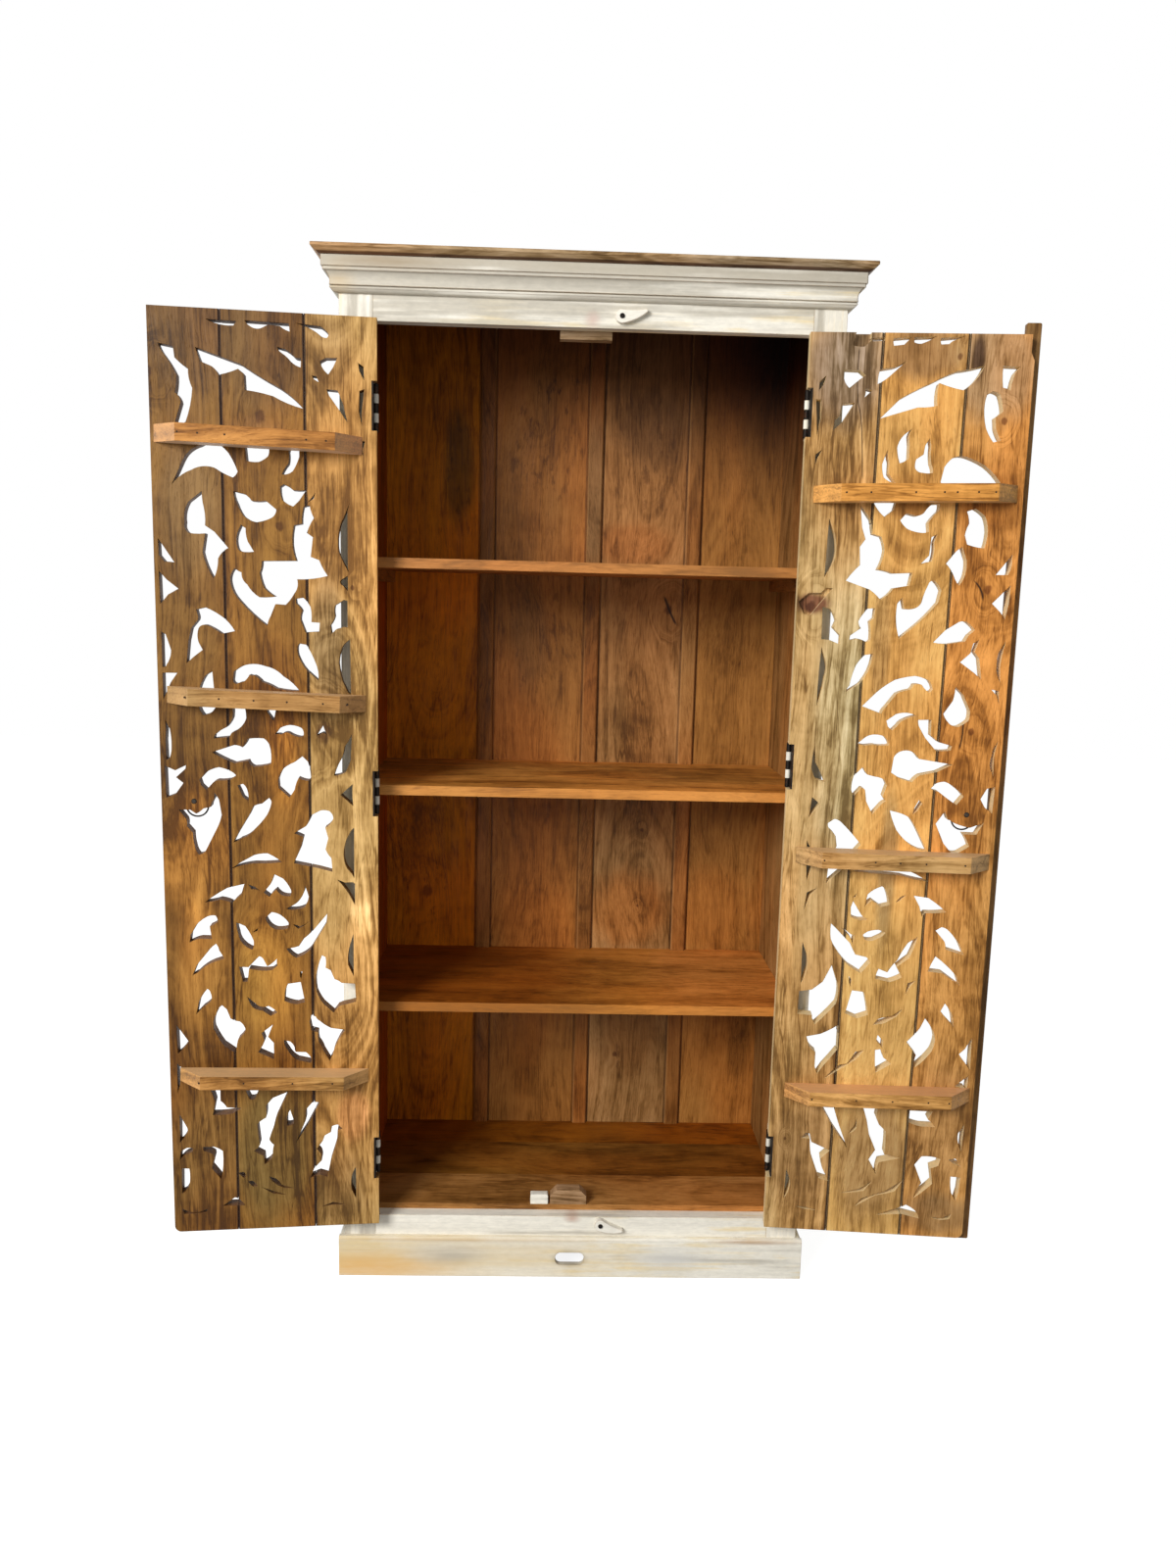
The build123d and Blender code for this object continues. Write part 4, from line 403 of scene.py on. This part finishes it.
def wood(name, board, seed, middle, patches=(), knots=(), flecks=(), cracks=(), joints=(),
         painted_shades=(), seam_and_shade_darkness=0.92, heart=(0.03, 0.09), ring=0.013, sway=0.03, gain=1.0, figure=1.0,
         cut_tone=None, cut=0.7, spread=1.0, outside=None):
    """Waxed mango wood.  middle is its mean colour, 0 to 255, and spread how far its darkest and
    palest colours lie apart; each patch drifts towards a colour of its own; heart is the middle
    of the growth rings, across and through the board, sway is how far it strays and ring the
    distance between rings; gain is how strong the whole pattern is and figure how strong the
    rings are; joints are the seams at its edges and the lines of painted shade
    beside the back's cover strips, across it at the foot and at the head, and
    seam_and_shade_darkness is how dark they are; cut_tone is the colour of its sawn edges, and
    cut its strength; painted_shades are ovals of painted shade, where it is darkened evenly as
    if in shadow; outside is the way its painted face looks."""
    tree = Board(name, board, seed)
    mean = rgb(*middle)
    pale = shifted(middle, PALE_SHIFT, spread)
    ripple = tree.centred(*RIPPLE)

    # growth rings round a heart line that wanders along the board
    wander = tree.centred(*WANDER)
    across = tree.plus(tree.less(tree.u, heart[0]), wander, sway * 3.0)
    through = tree.plus(tree.less(tree.v, heart[1]), tree.centred(*DEPTH), sway * 9.0)
    radius = tree.plus(tree.distance(across, through), ripple, 0.011)
    cores = []
    for centre, size, swirl in knots:
        push = tree.spot(centre, (size * 4.2, size * 7.0))
        radius = tree.plus(radius, push, swirl)
        cores.append(tree.spot(centre, (size, size * 1.3), 1.3))
    rings = tree.node("TexNoise", {"W": tree.math("DIVIDE", radius, ring), "Scale": 1.0,
                                   "Detail": 4.0, "Roughness": 0.55},
                      noise_dimensions="1D").outputs["Fac"]
    rings = tree.less(rings, NOISE_MIDDLE)

    # streaks, fibres, curl and clouds
    bend = tree.plus(tree.times(ripple, 0.014), wander, sway * 3.0)
    bent = tree.vector("ADD", tree.grain, tree.node("CombineXYZ", {0: bend, 1: bend}).outputs[0])
    broad = tree.less(tree.noise(bent, *BROAD), NOISE_MIDDLE)
    streak = tree.less(tree.noise(bent, *STREAK), NOISE_MIDDLE)
    strand = tree.less(tree.noise(bent, *STRAND), NOISE_MIDDLE)
    fibre = tree.noise(bent, *FIBRE)
    veins = tree.step(tree.math("ABSOLUTE", broad), *VEIN_FADE)
    pores = tree.step(tree.noise(bent, *PORES), *PORE_FADE)
    cloud = tree.centred(*CLOUD)
    blotch = tree.noise(tree.grain, *BLOTCH)
    curl = tree.centred(*CURL)

    tone = NOISE_MIDDLE
    for layer, weight in ((rings, 1.35 * gain * figure), (broad, 0.55 * gain),
                          (streak, 0.5 * gain), (cloud, 1.7 * gain),
                          (tree.less(blotch, NOISE_MIDDLE), 0.95 * gain),
                          (curl, 0.35 * gain), (strand, 0.45 * gain),
                          (tree.less(fibre, NOISE_MIDDLE), 0.95), (veins, -0.24 * gain)):
        tone = tree.plus(tone, layer, weight)
    colour = tree.ramp(tone, [(0.0, shifted(middle, DARK_SHIFT, spread)),
                              (0.26, shifted(middle, DEEP_SHIFT, spread)),
                              (0.52, mean), (1.0, pale)])
    warm = tree.step(tree.centred(*WARMTH), *WARM_FADE)
    colour = tree.mix(1.0, colour, tree.mix(warm, COOL_HUE, WARM_HUE), "MULTIPLY")
    colour = tree.tinted(colour, tree.times(pores, 0.50), PORE_TINT)

    for centre, size, target, share in patches:
        mask = tree.times(tree.spot(centre, size), share)
        colour = tree.tinted(colour, mask, tint_towards(mean, rgb(*target)))
    # painted shade: ovals where the board is darkened evenly, as if in shadow
    for centre, size, share in painted_shades:
        colour = tree.tinted(colour, tree.times(tree.haze(centre, size), share), PAINTED_SHADE_TINT)
    for centre, size, share in flecks:
        speckle = tree.step(tree.noise(bent, *SPECKLE), *SPECKLE_FADE)
        mask = tree.times(tree.times(tree.spot(centre, size), speckle), share)
        colour = tree.tinted(colour, mask, FLECK_TINT)
    for core in cores:
        colour = tree.tinted(colour, tree.times(core, 0.8), KNOT_TINT)
    for points, width in cracks:
        colour = tree.mix(tree.times(tree.stroke(points, width), 0.9), colour, CRACK_TONE)
    # dark joints between planks; on the back boards the same lines are painted shade beside the
    # cover strips
    for foot, head in joints:
        mask = tree.line(foot, head, JOINT_LOW, JOINT_HIGH, SEAM_AND_SHADE_WIDTH)
        colour = tree.mix(tree.times(mask, seam_and_shade_darkness), colour, SEAM_AND_SHADE_TONE)

    # sawn edges have a tone of their own, and rubbed arrises are paler
    rounded, near_edge = tree.soft_edges(WOOD_ROUND)
    side = tree.vector("DOT_PRODUCT", tree.facing, (1.0, 0.0, 0.0))
    end = tree.vector("DOT_PRODUCT", tree.facing, (0.0, 0.0, 1.0))
    sawn = tree.plus(tree.times(end, end), side, side)
    if cut_tone:
        fresh = tree.mix(cut, colour, rgb(*cut_tone))
        colour = tree.mix(tree.step(sawn, *SAWN_FADE), colour, fresh)
    rubbed = tree.times(near_edge, tree.step(blotch, *RUBBED_FADE))
    colour = tree.mix(tree.times(rubbed, 0.45), colour, tree.mix(0.5, colour, pale))
    if outside:
        coat = tree.painted(near_edge, **COAT)[0]
        outer = tree.step(tree.vector("DOT_PRODUCT", tree.facing, outside), *OUTER_FADE)
        colour = tree.mix(outer, colour, coat)

    roughness = tree.scale(tree.plus(streak, pores, 0.3), *WOOD_ROUGHNESS)
    height = tree.plus(tree.times(rings, 0.5), fibre, 0.6)
    height = tree.less(height, tree.times(pores, 0.5))
    return tree.finish(colour, roughness, height, WOOD_RELIEF, rounded, Specular_IOR_Level=0.18)


def paint(name, board, seed, wear, yellowed, grime, patches=(), edge_wear=0.5):
    """Wood with a coat of distressed paint all over."""
    tree = Board(name, board, seed)
    rounded, near_edge = tree.soft_edges(PAINT_ROUND)
    colour, brush, worn = tree.painted(near_edge, wear, yellowed, grime, patches, edge_wear)
    roughness = tree.scale(brush, *PAINT_ROUGHNESS)
    height = tree.plus(tree.times(worn, -0.8), brush, 0.5)
    return tree.finish(colour, roughness, height, PAINT_RELIEF, rounded, Specular_IOR_Level=0.3)


# ---------------------------------------------------------------- ironwork
IRON_CLOUD = ((160.0, 160.0, 160.0), 4.0, 0.6)
IRON_GRIT = ((900.0, 900.0, 900.0), 3.0, 0.6)
IRON_ROUND = 0.5 * MM
IRON_RELIEF = 0.12 * MM
RUST_FADE = (0.52, 0.72, 0.0, 0.8)
POLISHED_IRON = rgb(120, 112, 104)


def iron(name, seed, base, rust, rough=0.5):
    """Old iron: its colour, its rust, and the roughness of its smoothest spots."""
    tree = Board(name, UPRIGHT, seed)
    cloud = tree.noise(tree.grain, *IRON_CLOUD)
    grit = tree.noise(tree.grain, *IRON_GRIT)
    rounded, near_edge = tree.soft_edges(IRON_ROUND)
    colour = tree.mix(tree.step(cloud, *RUST_FADE), rgb(*base), rgb(*rust))
    polished = tree.mix(0.6, rgb(*base), POLISHED_IRON)
    colour = tree.mix(tree.times(near_edge, 0.5), colour, polished)
    roughness = tree.scale(cloud, 0.3, 0.7, rough, rough + 0.2)
    return tree.finish(colour, roughness, grit, IRON_RELIEF, rounded, Metallic=0.85)


def dress(material, *names):
    """Gives the named pieces a material."""
    for name in names:
        for slot in nodes[name].material_slots:
            slot.material = material


# ---------------------------------------------------------------- the doors' planks
# Places on a leaf are metres across it from its hinge edge and metres up from the floor.
OUTWARD = (0.0, -1.0, 0.0)
LEFT_SEAMS = ((0.1160, 0.1195), (0.2555, 0.2550))
RIGHT_SEAMS = ((0.1155, 0.1215), (0.2525, 0.2640))
# Painted light and shade: the sawn walls of the left leaf's holes get a dark tone and those of
# the right leaf a pale one, for how the light falls on each.
SHADED_LEFT_CUT = (112, 74, 42)
LIT_RIGHT_CUT = (252, 226, 172)


def dress_plank(side, number, seed, middle, **look):
    """An upright plank of a leaf, painted on its outer face and sawn through."""
    leaf, cut_tone = (LEFT_LEAF, SHADED_LEFT_CUT) if side == "left" else (RIGHT_LEAF, LIT_RIGHT_CUT)
    dress(wood(f"{side}_plank_{number}", leaf, seed, middle, cut_tone=cut_tone, outside=OUTWARD,
               **look), f"{side}_door_plank_{number}")


dress_plank("left", 1, 1, (180, 138, 82), heart=(0.07, 0.10), ring=0.012,
            joints=LEFT_SEAMS[:1],
            patches=[((0.018, 0.95), (0.038, 0.80), (222, 174, 110), 0.75),
                     ((0.095, 1.68), (0.060, 0.10), (158, 120, 74), 0.7),
                     ((0.085, 1.20), (0.035, 0.16), (156, 124, 84), 0.7),
                     ((0.030, 0.705), (0.030, 0.045), (216, 170, 108), 0.7),
                     ((0.045, 0.335), (0.032, 0.060), (212, 152, 98), 0.8),
                     ((0.075, 0.20), (0.060, 0.10), (152, 116, 72), 0.7)],
            knots=[((0.093, 1.047), 0.016, 0.030), ((0.042, 1.297), 0.004, 0.006)],
            flecks=[((0.085, 1.05), (0.035, 0.05), 0.7)])
dress_plank("left", 2, 2, (130, 88, 39), heart=(0.19, 0.07), ring=0.012,
            joints=LEFT_SEAMS, figure=1.15,
            patches=[((0.19, 1.68), (0.09, 0.13), (98, 70, 40), 0.85),
                     ((0.20, 1.54), (0.06, 0.04), (140, 96, 58), 0.6),
                     ((0.165, 1.00), (0.030, 0.10), (190, 144, 88), 0.7),
                     ((0.20, 0.60), (0.06, 0.14), (166, 118, 60), 0.7),
                     ((0.19, 0.27), (0.09, 0.16), (122, 96, 62), 0.8)],
            knots=[((0.192, 1.575), 0.010, 0.040), ((0.163, 1.397), 0.007, 0.018)])
dress_plank("left", 3, 3, (119, 82, 39), heart=(0.385, 0.05), ring=0.012,
            joints=LEFT_SEAMS[1:], figure=1.1,
            patches=[((0.31, 1.69), (0.09, 0.10), (104, 74, 42), 0.85),
                     ((0.31, 1.42), (0.06, 0.14), (122, 90, 54), 0.7),
                     ((0.31, 0.83), (0.08, 0.13), (206, 158, 104), 0.8),
                     ((0.30, 0.60), (0.06, 0.16), (176, 130, 78), 0.7),
                     ((0.31, 0.25), (0.08, 0.15), (132, 98, 60), 0.8)],
            knots=[((0.372, 1.64), 0.010, 0.045)],
            flecks=[((0.33, 0.80), (0.05, 0.06), 0.4)])
dress_plank("right", 1, 4, (188, 150, 98), heart=(-0.05, 0.12), ring=0.013, sway=0.012,
            joints=RIGHT_SEAMS[:1],
            patches=[((0.06, 1.68), (0.08, 0.11), (154, 130, 110), 0.85),
                     ((0.085, 1.10), (0.050, 0.30), (204, 180, 150), 0.8),
                     ((0.075, 0.70), (0.045, 0.30), (176, 140, 92), 0.6),
                     ((0.012, 0.90), (0.020, 0.70), (216, 170, 112), 0.6),
                     ((0.030, 1.290), (0.034, 0.020), (110, 64, 46), 0.9),
                     ((0.060, 0.27), (0.075, 0.13), (160, 126, 84), 0.8)],
            knots=[((0.025, 1.285), 0.009, 0.025), ((0.030, 0.30), 0.003, 0.035)],
            cracks=[([(0.082, 1.72), (0.084, 1.64), (0.092, 1.60), (0.100, 1.50)], 0.0012)])
dress_plank("right", 2, 5, (222, 168, 98), heart=(0.20, 0.13), ring=0.016,
            joints=RIGHT_SEAMS, gain=0.75, spread=0.85,
            patches=[((0.19, 1.71), (0.09, 0.055), (150, 118, 84), 0.8),
                     ((0.185, 0.82), (0.020, 0.16), (158, 128, 86), 0.75),
                     ((0.150, 1.22), (0.020, 0.14), (178, 138, 88), 0.6),
                     ((0.19, 1.46), (0.05, 0.03), (168, 112, 58), 0.6),
                     ((0.19, 0.27), (0.09, 0.15), (172, 130, 84), 0.8)],
            knots=[((0.250, 1.705), 0.005, 0.010)],
            flecks=[((0.255, 1.715), (0.02, 0.05), 0.8)])
dress_plank("right", 3, 6, (206, 144, 78), heart=(0.335, 0.05), ring=0.012,
            joints=RIGHT_SEAMS[1:],
            patches=[((0.31, 1.69), (0.09, 0.10), (166, 132, 96), 0.85),
                     ((0.28, 1.705), (0.014, 0.045), (84, 52, 32), 0.85),
                     ((0.31, 1.46), (0.08, 0.06), (162, 104, 48), 0.7),
                     ((0.32, 1.19), (0.07, 0.22), (200, 138, 72), 0.7),
                     ((0.31, 0.33), (0.08, 0.16), (176, 128, 78), 0.7),
                     ((0.32, 0.165), (0.08, 0.05), (148, 112, 74), 0.7)],
            knots=[((0.330, 1.602), 0.006, 0.050), ((0.325, 1.322), 0.007, 0.022),
                   ((0.315, 1.075), 0.006, 0.016)],
            cracks=[([(0.296, 1.340), (0.312, 1.322), (0.318, 1.300)], 0.0028),
                    ([(0.292, 1.12), (0.300, 1.09), (0.296, 1.04)], 0.0022)])

for leaf, side, level, seed, middle, cut_tone, gain in (
        (LEFT_ACROSS, "left", "upper", 7, (174, 114, 56), (248, 220, 190), 0.9),
        (LEFT_ACROSS, "left", "middle", 51, (156, 118, 72), (226, 186, 140), 0.9),
        (LEFT_ACROSS, "left", "lower", 52, (176, 130, 76), (222, 182, 134), 0.9),
        (RIGHT_ACROSS, "right", "upper", 8, (210, 152, 80), (236, 192, 130), 0.9),
        (RIGHT_ACROSS, "right", "middle", 53, (182, 140, 88), (222, 186, 140), 1.1),
        (RIGHT_ACROSS, "right", "lower", 54, (204, 146, 82), (226, 172, 124), 0.9)):
    dress(wood(f"{side}_{level}_batten_wood", leaf, seed, middle, cut_tone=cut_tone, gain=gain),
          f"{side}_door_{level}_batten")
dress(wood("meeting_strip_wood", RIGHT_LEAF, 9, (140, 102, 62), gain=0.8, outside=OUTWARD),
      "right_door_meeting_strip")

# ---------------------------------------------------------------- the inside
# Places on the back are X and Z in metres, and on the sides any Y and then Z.
# Painted shade: the back, its strips and the sides darken towards the top, as in the shadow under
# the lintel.
TOP_PAINTED_SHADES = [((0.05, 1.92), (0.90, 0.38), 0.95), ((0.40, 1.86), (0.42, 0.55), 1.0),
              ((0.44, 1.84), (0.26, 0.42), 1.0)]
SIDE_PAINTED_SHADES = [((0.0, 1.90), (WHOLE, 0.45), 0.8)]
# Painted shade: a dark line on the back boards along each edge of a cover strip, where the raised
# strip's shade falls.
STRIP_CENTRES = (-0.200, 0.020, 0.226)
STRIP_HALF = 0.0165       # half a cover strip and the painted shade line beside it
STRIP_SHADE_LINES = [(edge, edge) for centre in STRIP_CENTRES
               for edge in (centre - STRIP_HALF, centre + STRIP_HALF)]


def dress_back(number, seed, middle, **look):
    """A back board, with painted shade under the top and lines of painted shade along its cover
    strips.
    """
    dress(wood(f"back_{number}_wood", UPRIGHT, seed, middle, seam_and_shade_darkness=0.5, painted_shades=TOP_PAINTED_SHADES, **look),
          f"back_board_{number}")


def dress_shelf(level, seed, middle, **look):
    """A shelf, whose front edge is nearly of its own colour."""
    dress(wood(f"{level}_shelf_wood", FLAT, seed, middle, cut=0.4, **look), f"{level}_shelf")


dress_back(1, 11, (200, 116, 18), heart=(-0.3, 0.44), gain=0.65,
           joints=STRIP_SHADE_LINES[:1],
           patches=[((-0.26, 1.55), (0.035, 0.14), (104, 70, 24), 0.7),
                    ((-0.24, 0.86), (0.09, 0.14), (180, 108, 26), 0.5)],
           knots=[((-0.32, 0.655), 0.012, 0.02)],
           flecks=[((-0.33, 0.66), (0.06, 0.09), 0.9), ((-0.25, 1.52), (0.05, 0.14), 0.7)])
dress_back(2, 12, (150, 96, 46), heart=(-0.09, 0.45), gain=0.6, figure=0.7,
           joints=STRIP_SHADE_LINES[1:3],
           patches=[((-0.08, 1.38), (0.14, 0.09), (160, 100, 48), 0.6),
                    ((-0.09, 0.98), (0.14, 0.10), (164, 104, 50), 0.6),
                    ((-0.09, 0.58), (0.14, 0.10), (164, 102, 46), 0.6),
                    ((-0.11, 1.20), (0.05, 0.13), (122, 80, 42), 0.6),
                    ((-0.10, 0.28), (0.05, 0.11), (124, 76, 30), 0.6)],
           flecks=[((-0.09, 1.60), (0.11, 0.17), 0.75), ((-0.04, 1.70), (0.05, 0.05), 1.0),
                   ((-0.09, 1.18), (0.09, 0.15), 0.7), ((-0.15, 0.45), (0.06, 0.05), 0.5)])
dress_back(3, 13, (154, 110, 66), heart=(0.16, 0.43), ring=0.015, gain=0.7, figure=1.3,
           joints=STRIP_SHADE_LINES[3:5],
           patches=[((0.14, 1.63), (0.09, 0.10), (108, 76, 46), 0.7),
                    ((0.10, 1.40), (0.10, 0.05), (160, 102, 54), 0.6),
                    ((0.12, 0.62), (0.10, 0.10), (168, 98, 40), 0.6),
                    ((0.13, 0.36), (0.08, 0.14), (124, 76, 34), 0.6)],
           knots=[((0.180, 1.270), 0.010, 0.040), ((0.140, 0.798), 0.004, 0.016),
                  ((0.136, 0.63), 0.003, 0.012),
                  ((0.096, 0.290), 0.006, 0.010)],
           cracks=[([(0.170, 1.300), (0.184, 1.265), (0.200, 1.235)], 0.004)],
           flecks=[((0.13, 1.55), (0.10, 0.14), 0.6), ((0.10, 0.29), (0.02, 0.05), 0.8)])
dress_back(4, 14, (160, 106, 52), heart=(0.31, 0.45), gain=0.5, joints=STRIP_SHADE_LINES[5:],
           patches=[((0.30, 0.62), (0.09, 0.12), (172, 104, 46), 0.6),
                    ((0.37, 0.32), (0.03, 0.10), (124, 82, 40), 0.6)],
           flecks=[((0.37, 0.34), (0.04, 0.09), 0.7)])
dress(wood("strip_wood", UPRIGHT, 15, (144, 92, 46), gain=0.55, cut_tone=(206, 158, 104),
           # painted shade under the top, as on the back boards
           painted_shades=TOP_PAINTED_SHADES,
           patches=[((0.02, 1.50), (0.03, 0.20), (128, 96, 62), 0.6),
                    ((0.226, 1.20), (0.03, 0.60), (160, 112, 66), 0.6),
                    ((-0.20, 1.35), (0.03, 0.45), (122, 74, 32), 0.7)]), "back_cover_strips")
# painted shade: the left side is given a darker, redder colour than the right side, in part for
# the shade on that wall, and is darkened under the top
dress(wood("left_side_wood", UPRIGHT, 16, (158, 76, 22), gain=0.6, painted_shades=SIDE_PAINTED_SHADES,
           outside=(-1.0, 0.0, 0.0)), "left_side_boards")
# painted shade under the top of the right side, deeper than on the left
dress(wood("right_side_wood", UPRIGHT, 17, (154, 108, 62), gain=0.7,
           painted_shades=SIDE_PAINTED_SHADES + [((0.0, 1.84), (WHOLE, 0.55), 1.0)],
           outside=(1.0, 0.0, 0.0)), "right_side_boards")

# on a shelf and on the floor, a place is Y and X
dress_shelf("upper", 18, (168, 106, 54), heart=(0.16, 1.24), ring=0.02, cut_tone=(190, 132, 76))
dress_shelf("middle", 19, (196, 130, 62), heart=(0.20, 0.84), ring=0.03, gain=0.8,
            cut_tone=(192, 132, 74))
dress_shelf("lower", 20, (192, 122, 52), heart=(0.16, 0.42), ring=0.03, gain=0.6,
            cut_tone=(190, 128, 62),
            patches=[((0.18, -0.34), (0.60, 0.46), (134, 66, 12), 0.85),
                     ((0.20, 0.34), (0.34, 0.24), (210, 132, 66), 0.7)])
for place, seed, middle, heart in (("front", 21, (168, 114, 62), 0.06),
                                   ("middle", 25, (132, 84, 34), 0.20),
                                   ("back", 26, (140, 80, 22), 0.33)):
    dress(wood(f"floor_{place}_wood", FLAT, seed, middle, heart=(heart, 0.02), ring=0.02,
               gain=0.7), f"floor_board_{place}")
dress(wood("cleat_wood", INWARD, 22, (150, 96, 50)), "shelf_cleats")
dress(wood("upper_stop_wood", LENGTHWISE, 23, (150, 120, 90), gain=0.7), "upper_door_stop")
dress(wood("lower_stop_wood", LENGTHWISE, 24, (160, 122, 88), gain=0.9), "lower_door_stop")

# ---------------------------------------------------------------- the painted case
# Along a length, a place is minus its height and then X, in metres.
dress(wood("cap_wood", LENGTHWISE, 31, (166, 134, 98), heart=(-1.9, 0.2), gain=0.9,
           # painted shade: a dark band along the cap's slanted underside, which faces down, away
           # from the light
           patches=[((-1.843, 0.0), (0.0030, WHOLE), (70, 44, 30), 0.9),
                    ((-1.850, 0.30), (0.05, 0.16), (168, 150, 126), 0.7)]), "top_board")
dress(paint("cornice_paint", LENGTHWISE, 32, wear=0.35, yellowed=0.35, grime=1.30, edge_wear=0.9,
            # painted shade: the fascia darkened in a band just under the cap
            patches=[((-1.833, 0.0), (0.016, 1.20), (176, 166, 146), 0.7),
                     ((-1.833, -0.34), (0.018, 0.20), (150, 128, 96), 1.0),
                     ((-1.800, -0.43), (0.045, 0.04), (200, 176, 136), 0.9)]), "cornice_front")
dress(paint("cornice_side_paint", INWARD, 33, wear=0.45, yellowed=0.5, grime=0.8),
      "cornice_left", "cornice_right")
dress(paint("lintel_paint", LENGTHWISE, 34, wear=0.25, yellowed=0.75, grime=1.0,
            patches=[((-1.757, -0.003), (0.020, 0.020), (196, 160, 148), 0.8)]), "lintel")
dress(paint("left_stile_paint", UPRIGHT, 35, wear=0.35, yellowed=0.7, grime=0.8), "left_stile")
dress(paint("right_stile_paint", UPRIGHT, 36, wear=0.35, yellowed=0.6, grime=0.8), "right_stile")
dress(paint("rail_paint", LENGTHWISE, 37, wear=0.25, yellowed=0.45, grime=0.25,
            patches=[((-0.114, 0.0), (0.012, 0.022), (176, 128, 104), 1.0)]), "bottom_rail")
dress(paint("plinth_paint", LENGTHWISE, 38, wear=0.25, yellowed=0.55, grime=0.35, edge_wear=0.9,
            patches=[((-0.040, -0.26), (0.14, 0.50), (218, 194, 146), 1.0),
                     ((-0.010, -0.38), (0.055, 0.24), (226, 178, 108), 1.0),
                     ((-0.045, -0.235), (0.032, 0.110), (176, 170, 160), 1.0),
                     ((-0.074, 0.36), (0.007, 0.13), (160, 112, 62), 1.0),
                     ((-0.074, -0.20), (0.006, 0.34), (190, 156, 104), 0.9),
                     ((-0.035, 0.19), (0.045, 0.10), (210, 208, 202), 0.8),
                     # painted shade: a near-black oval round the vent slot, for the shade inside
                     # it
                     ((-0.0375, -0.0035), (0.024, 0.043), (36, 28, 22), 1.0)]), "plinth_front")
dress(paint("plinth_side_paint", INWARD, 39, wear=0.45, yellowed=0.7, grime=0.4),
      "plinth_left", "plinth_right")

# ---------------------------------------------------------------- fittings
dress(iron("hinge_iron", 41, (38, 34, 31), (84, 56, 38)),
      "left_door_hinge_leaves", "right_door_hinge_leaves", "hinge_pins")
dress(iron("screw_steel", 42, (30, 27, 25), (60, 44, 34), 0.4), "frame_hinge_screws",
      "left_door_hinge_screws", "right_door_hinge_screws", "turn_button_screws")
dress(iron("nail_steel", 43, (52, 42, 34), (84, 60, 42), 0.55),
      "left_door_batten_nails", "right_door_batten_nails")
dress(iron("ring_iron", 44, (58, 54, 50), (92, 74, 58), 0.38), "left_door_ring",
      "right_door_ring", "left_door_ring_staple", "right_door_ring_staple")
dress(paint("hinge_paint", UPRIGHT, 45, wear=0.6, yellowed=0.4, grime=0.5),
      "left_frame_hinge_leaves", "right_frame_hinge_leaves")
dress(paint("button_paint", LENGTHWISE, 46, wear=0.2, yellowed=0.3, grime=0.2, edge_wear=1.4),
      "upper_turn_button", "lower_turn_button")
dress(paint("catch_white", LENGTHWISE, 47, wear=0.05, yellowed=0.1, grime=0.2), "white_catch")


# ---------------------------------------------------------------- floor and light
KEY_PLACE = Vector((-2.4, -3.5, 2.6))
KEY_AIM = Vector((0.0, 0.0, 0.95))
KEY_SIZE = 1.7
KEY_POWER = 200.0
KEY_COLOUR = (1.0, 0.99, 0.975)
SKY_LEVEL = 0.36
FLOOR_SIZE = 16.0
FLOOR_DROP = 0.4 * MM
FLOOR_COLOUR = (0.42, 0.42, 0.42, 1.0)
FLOOR_GLOW = 0.87
WHITE = (1.0, 1.0, 1.0, 1.0)


def seen_directly(tree):
    """1 for what the camera, a gloss or a transparency sees, 0 for the light that falls."""
    path = tree.node("LightPath")
    seen = tree.math("MAXIMUM", path.outputs["Is Camera Ray"], path.outputs["Is Glossy Ray"])
    return tree.math("MAXIMUM", seen, path.outputs["Is Transmission Ray"])


def make_floor():
    half = FLOOR_SIZE / 2
    mesh = bpy.data.meshes.new("floor")
    corners = [(across, deep, -FLOOR_DROP)
               for across, deep in ((-half, -half), (half, -half), (half, half), (-half, half))]
    mesh.from_pydata(corners, [], [(0, 1, 2, 3)])
    floor = bpy.data.objects.new("floor", mesh)
    bpy.context.scene.collection.objects.link(floor)
    tree = Shader(bpy.data.materials.new("floor_white"))
    diffuse = tree.node("BsdfDiffuse", {"Color": FLOOR_COLOUR})
    glow = tree.node("Emission", {"Color": WHITE,
                                  "Strength": tree.times(seen_directly(tree), FLOOR_GLOW)})
    both = tree.node("AddShader", {0: diffuse.outputs[0], 1: glow.outputs[0]})
    tree.node("OutputMaterial", {"Surface": both.outputs[0]})
    mesh.materials.append(tree.owner)


def make_key_light():
    data = bpy.data.lights.new("key", "AREA")
    data.shape = "SQUARE"
    data.size = KEY_SIZE
    data.energy = KEY_POWER
    data.color = KEY_COLOUR
    key = bpy.data.objects.new("key", data)
    key.location = KEY_PLACE
    key.rotation_euler = (KEY_AIM - KEY_PLACE).to_track_quat("-Z", "Y").to_euler()
    bpy.context.scene.collection.objects.link(key)


def make_sky():
    world = bpy.data.worlds.new("sky")
    bpy.context.scene.world = world
    tree = Shader(world)
    level = tree.scale(seen_directly(tree), 0.0, 1.0, SKY_LEVEL, 1.0)
    sky = tree.node("Background", {"Color": WHITE, "Strength": level})
    tree.node("OutputWorld", {"Surface": sky.outputs[0]})


make_floor()
make_key_light()
make_sky()
bpy.context.scene.view_settings.view_transform = "Standard"
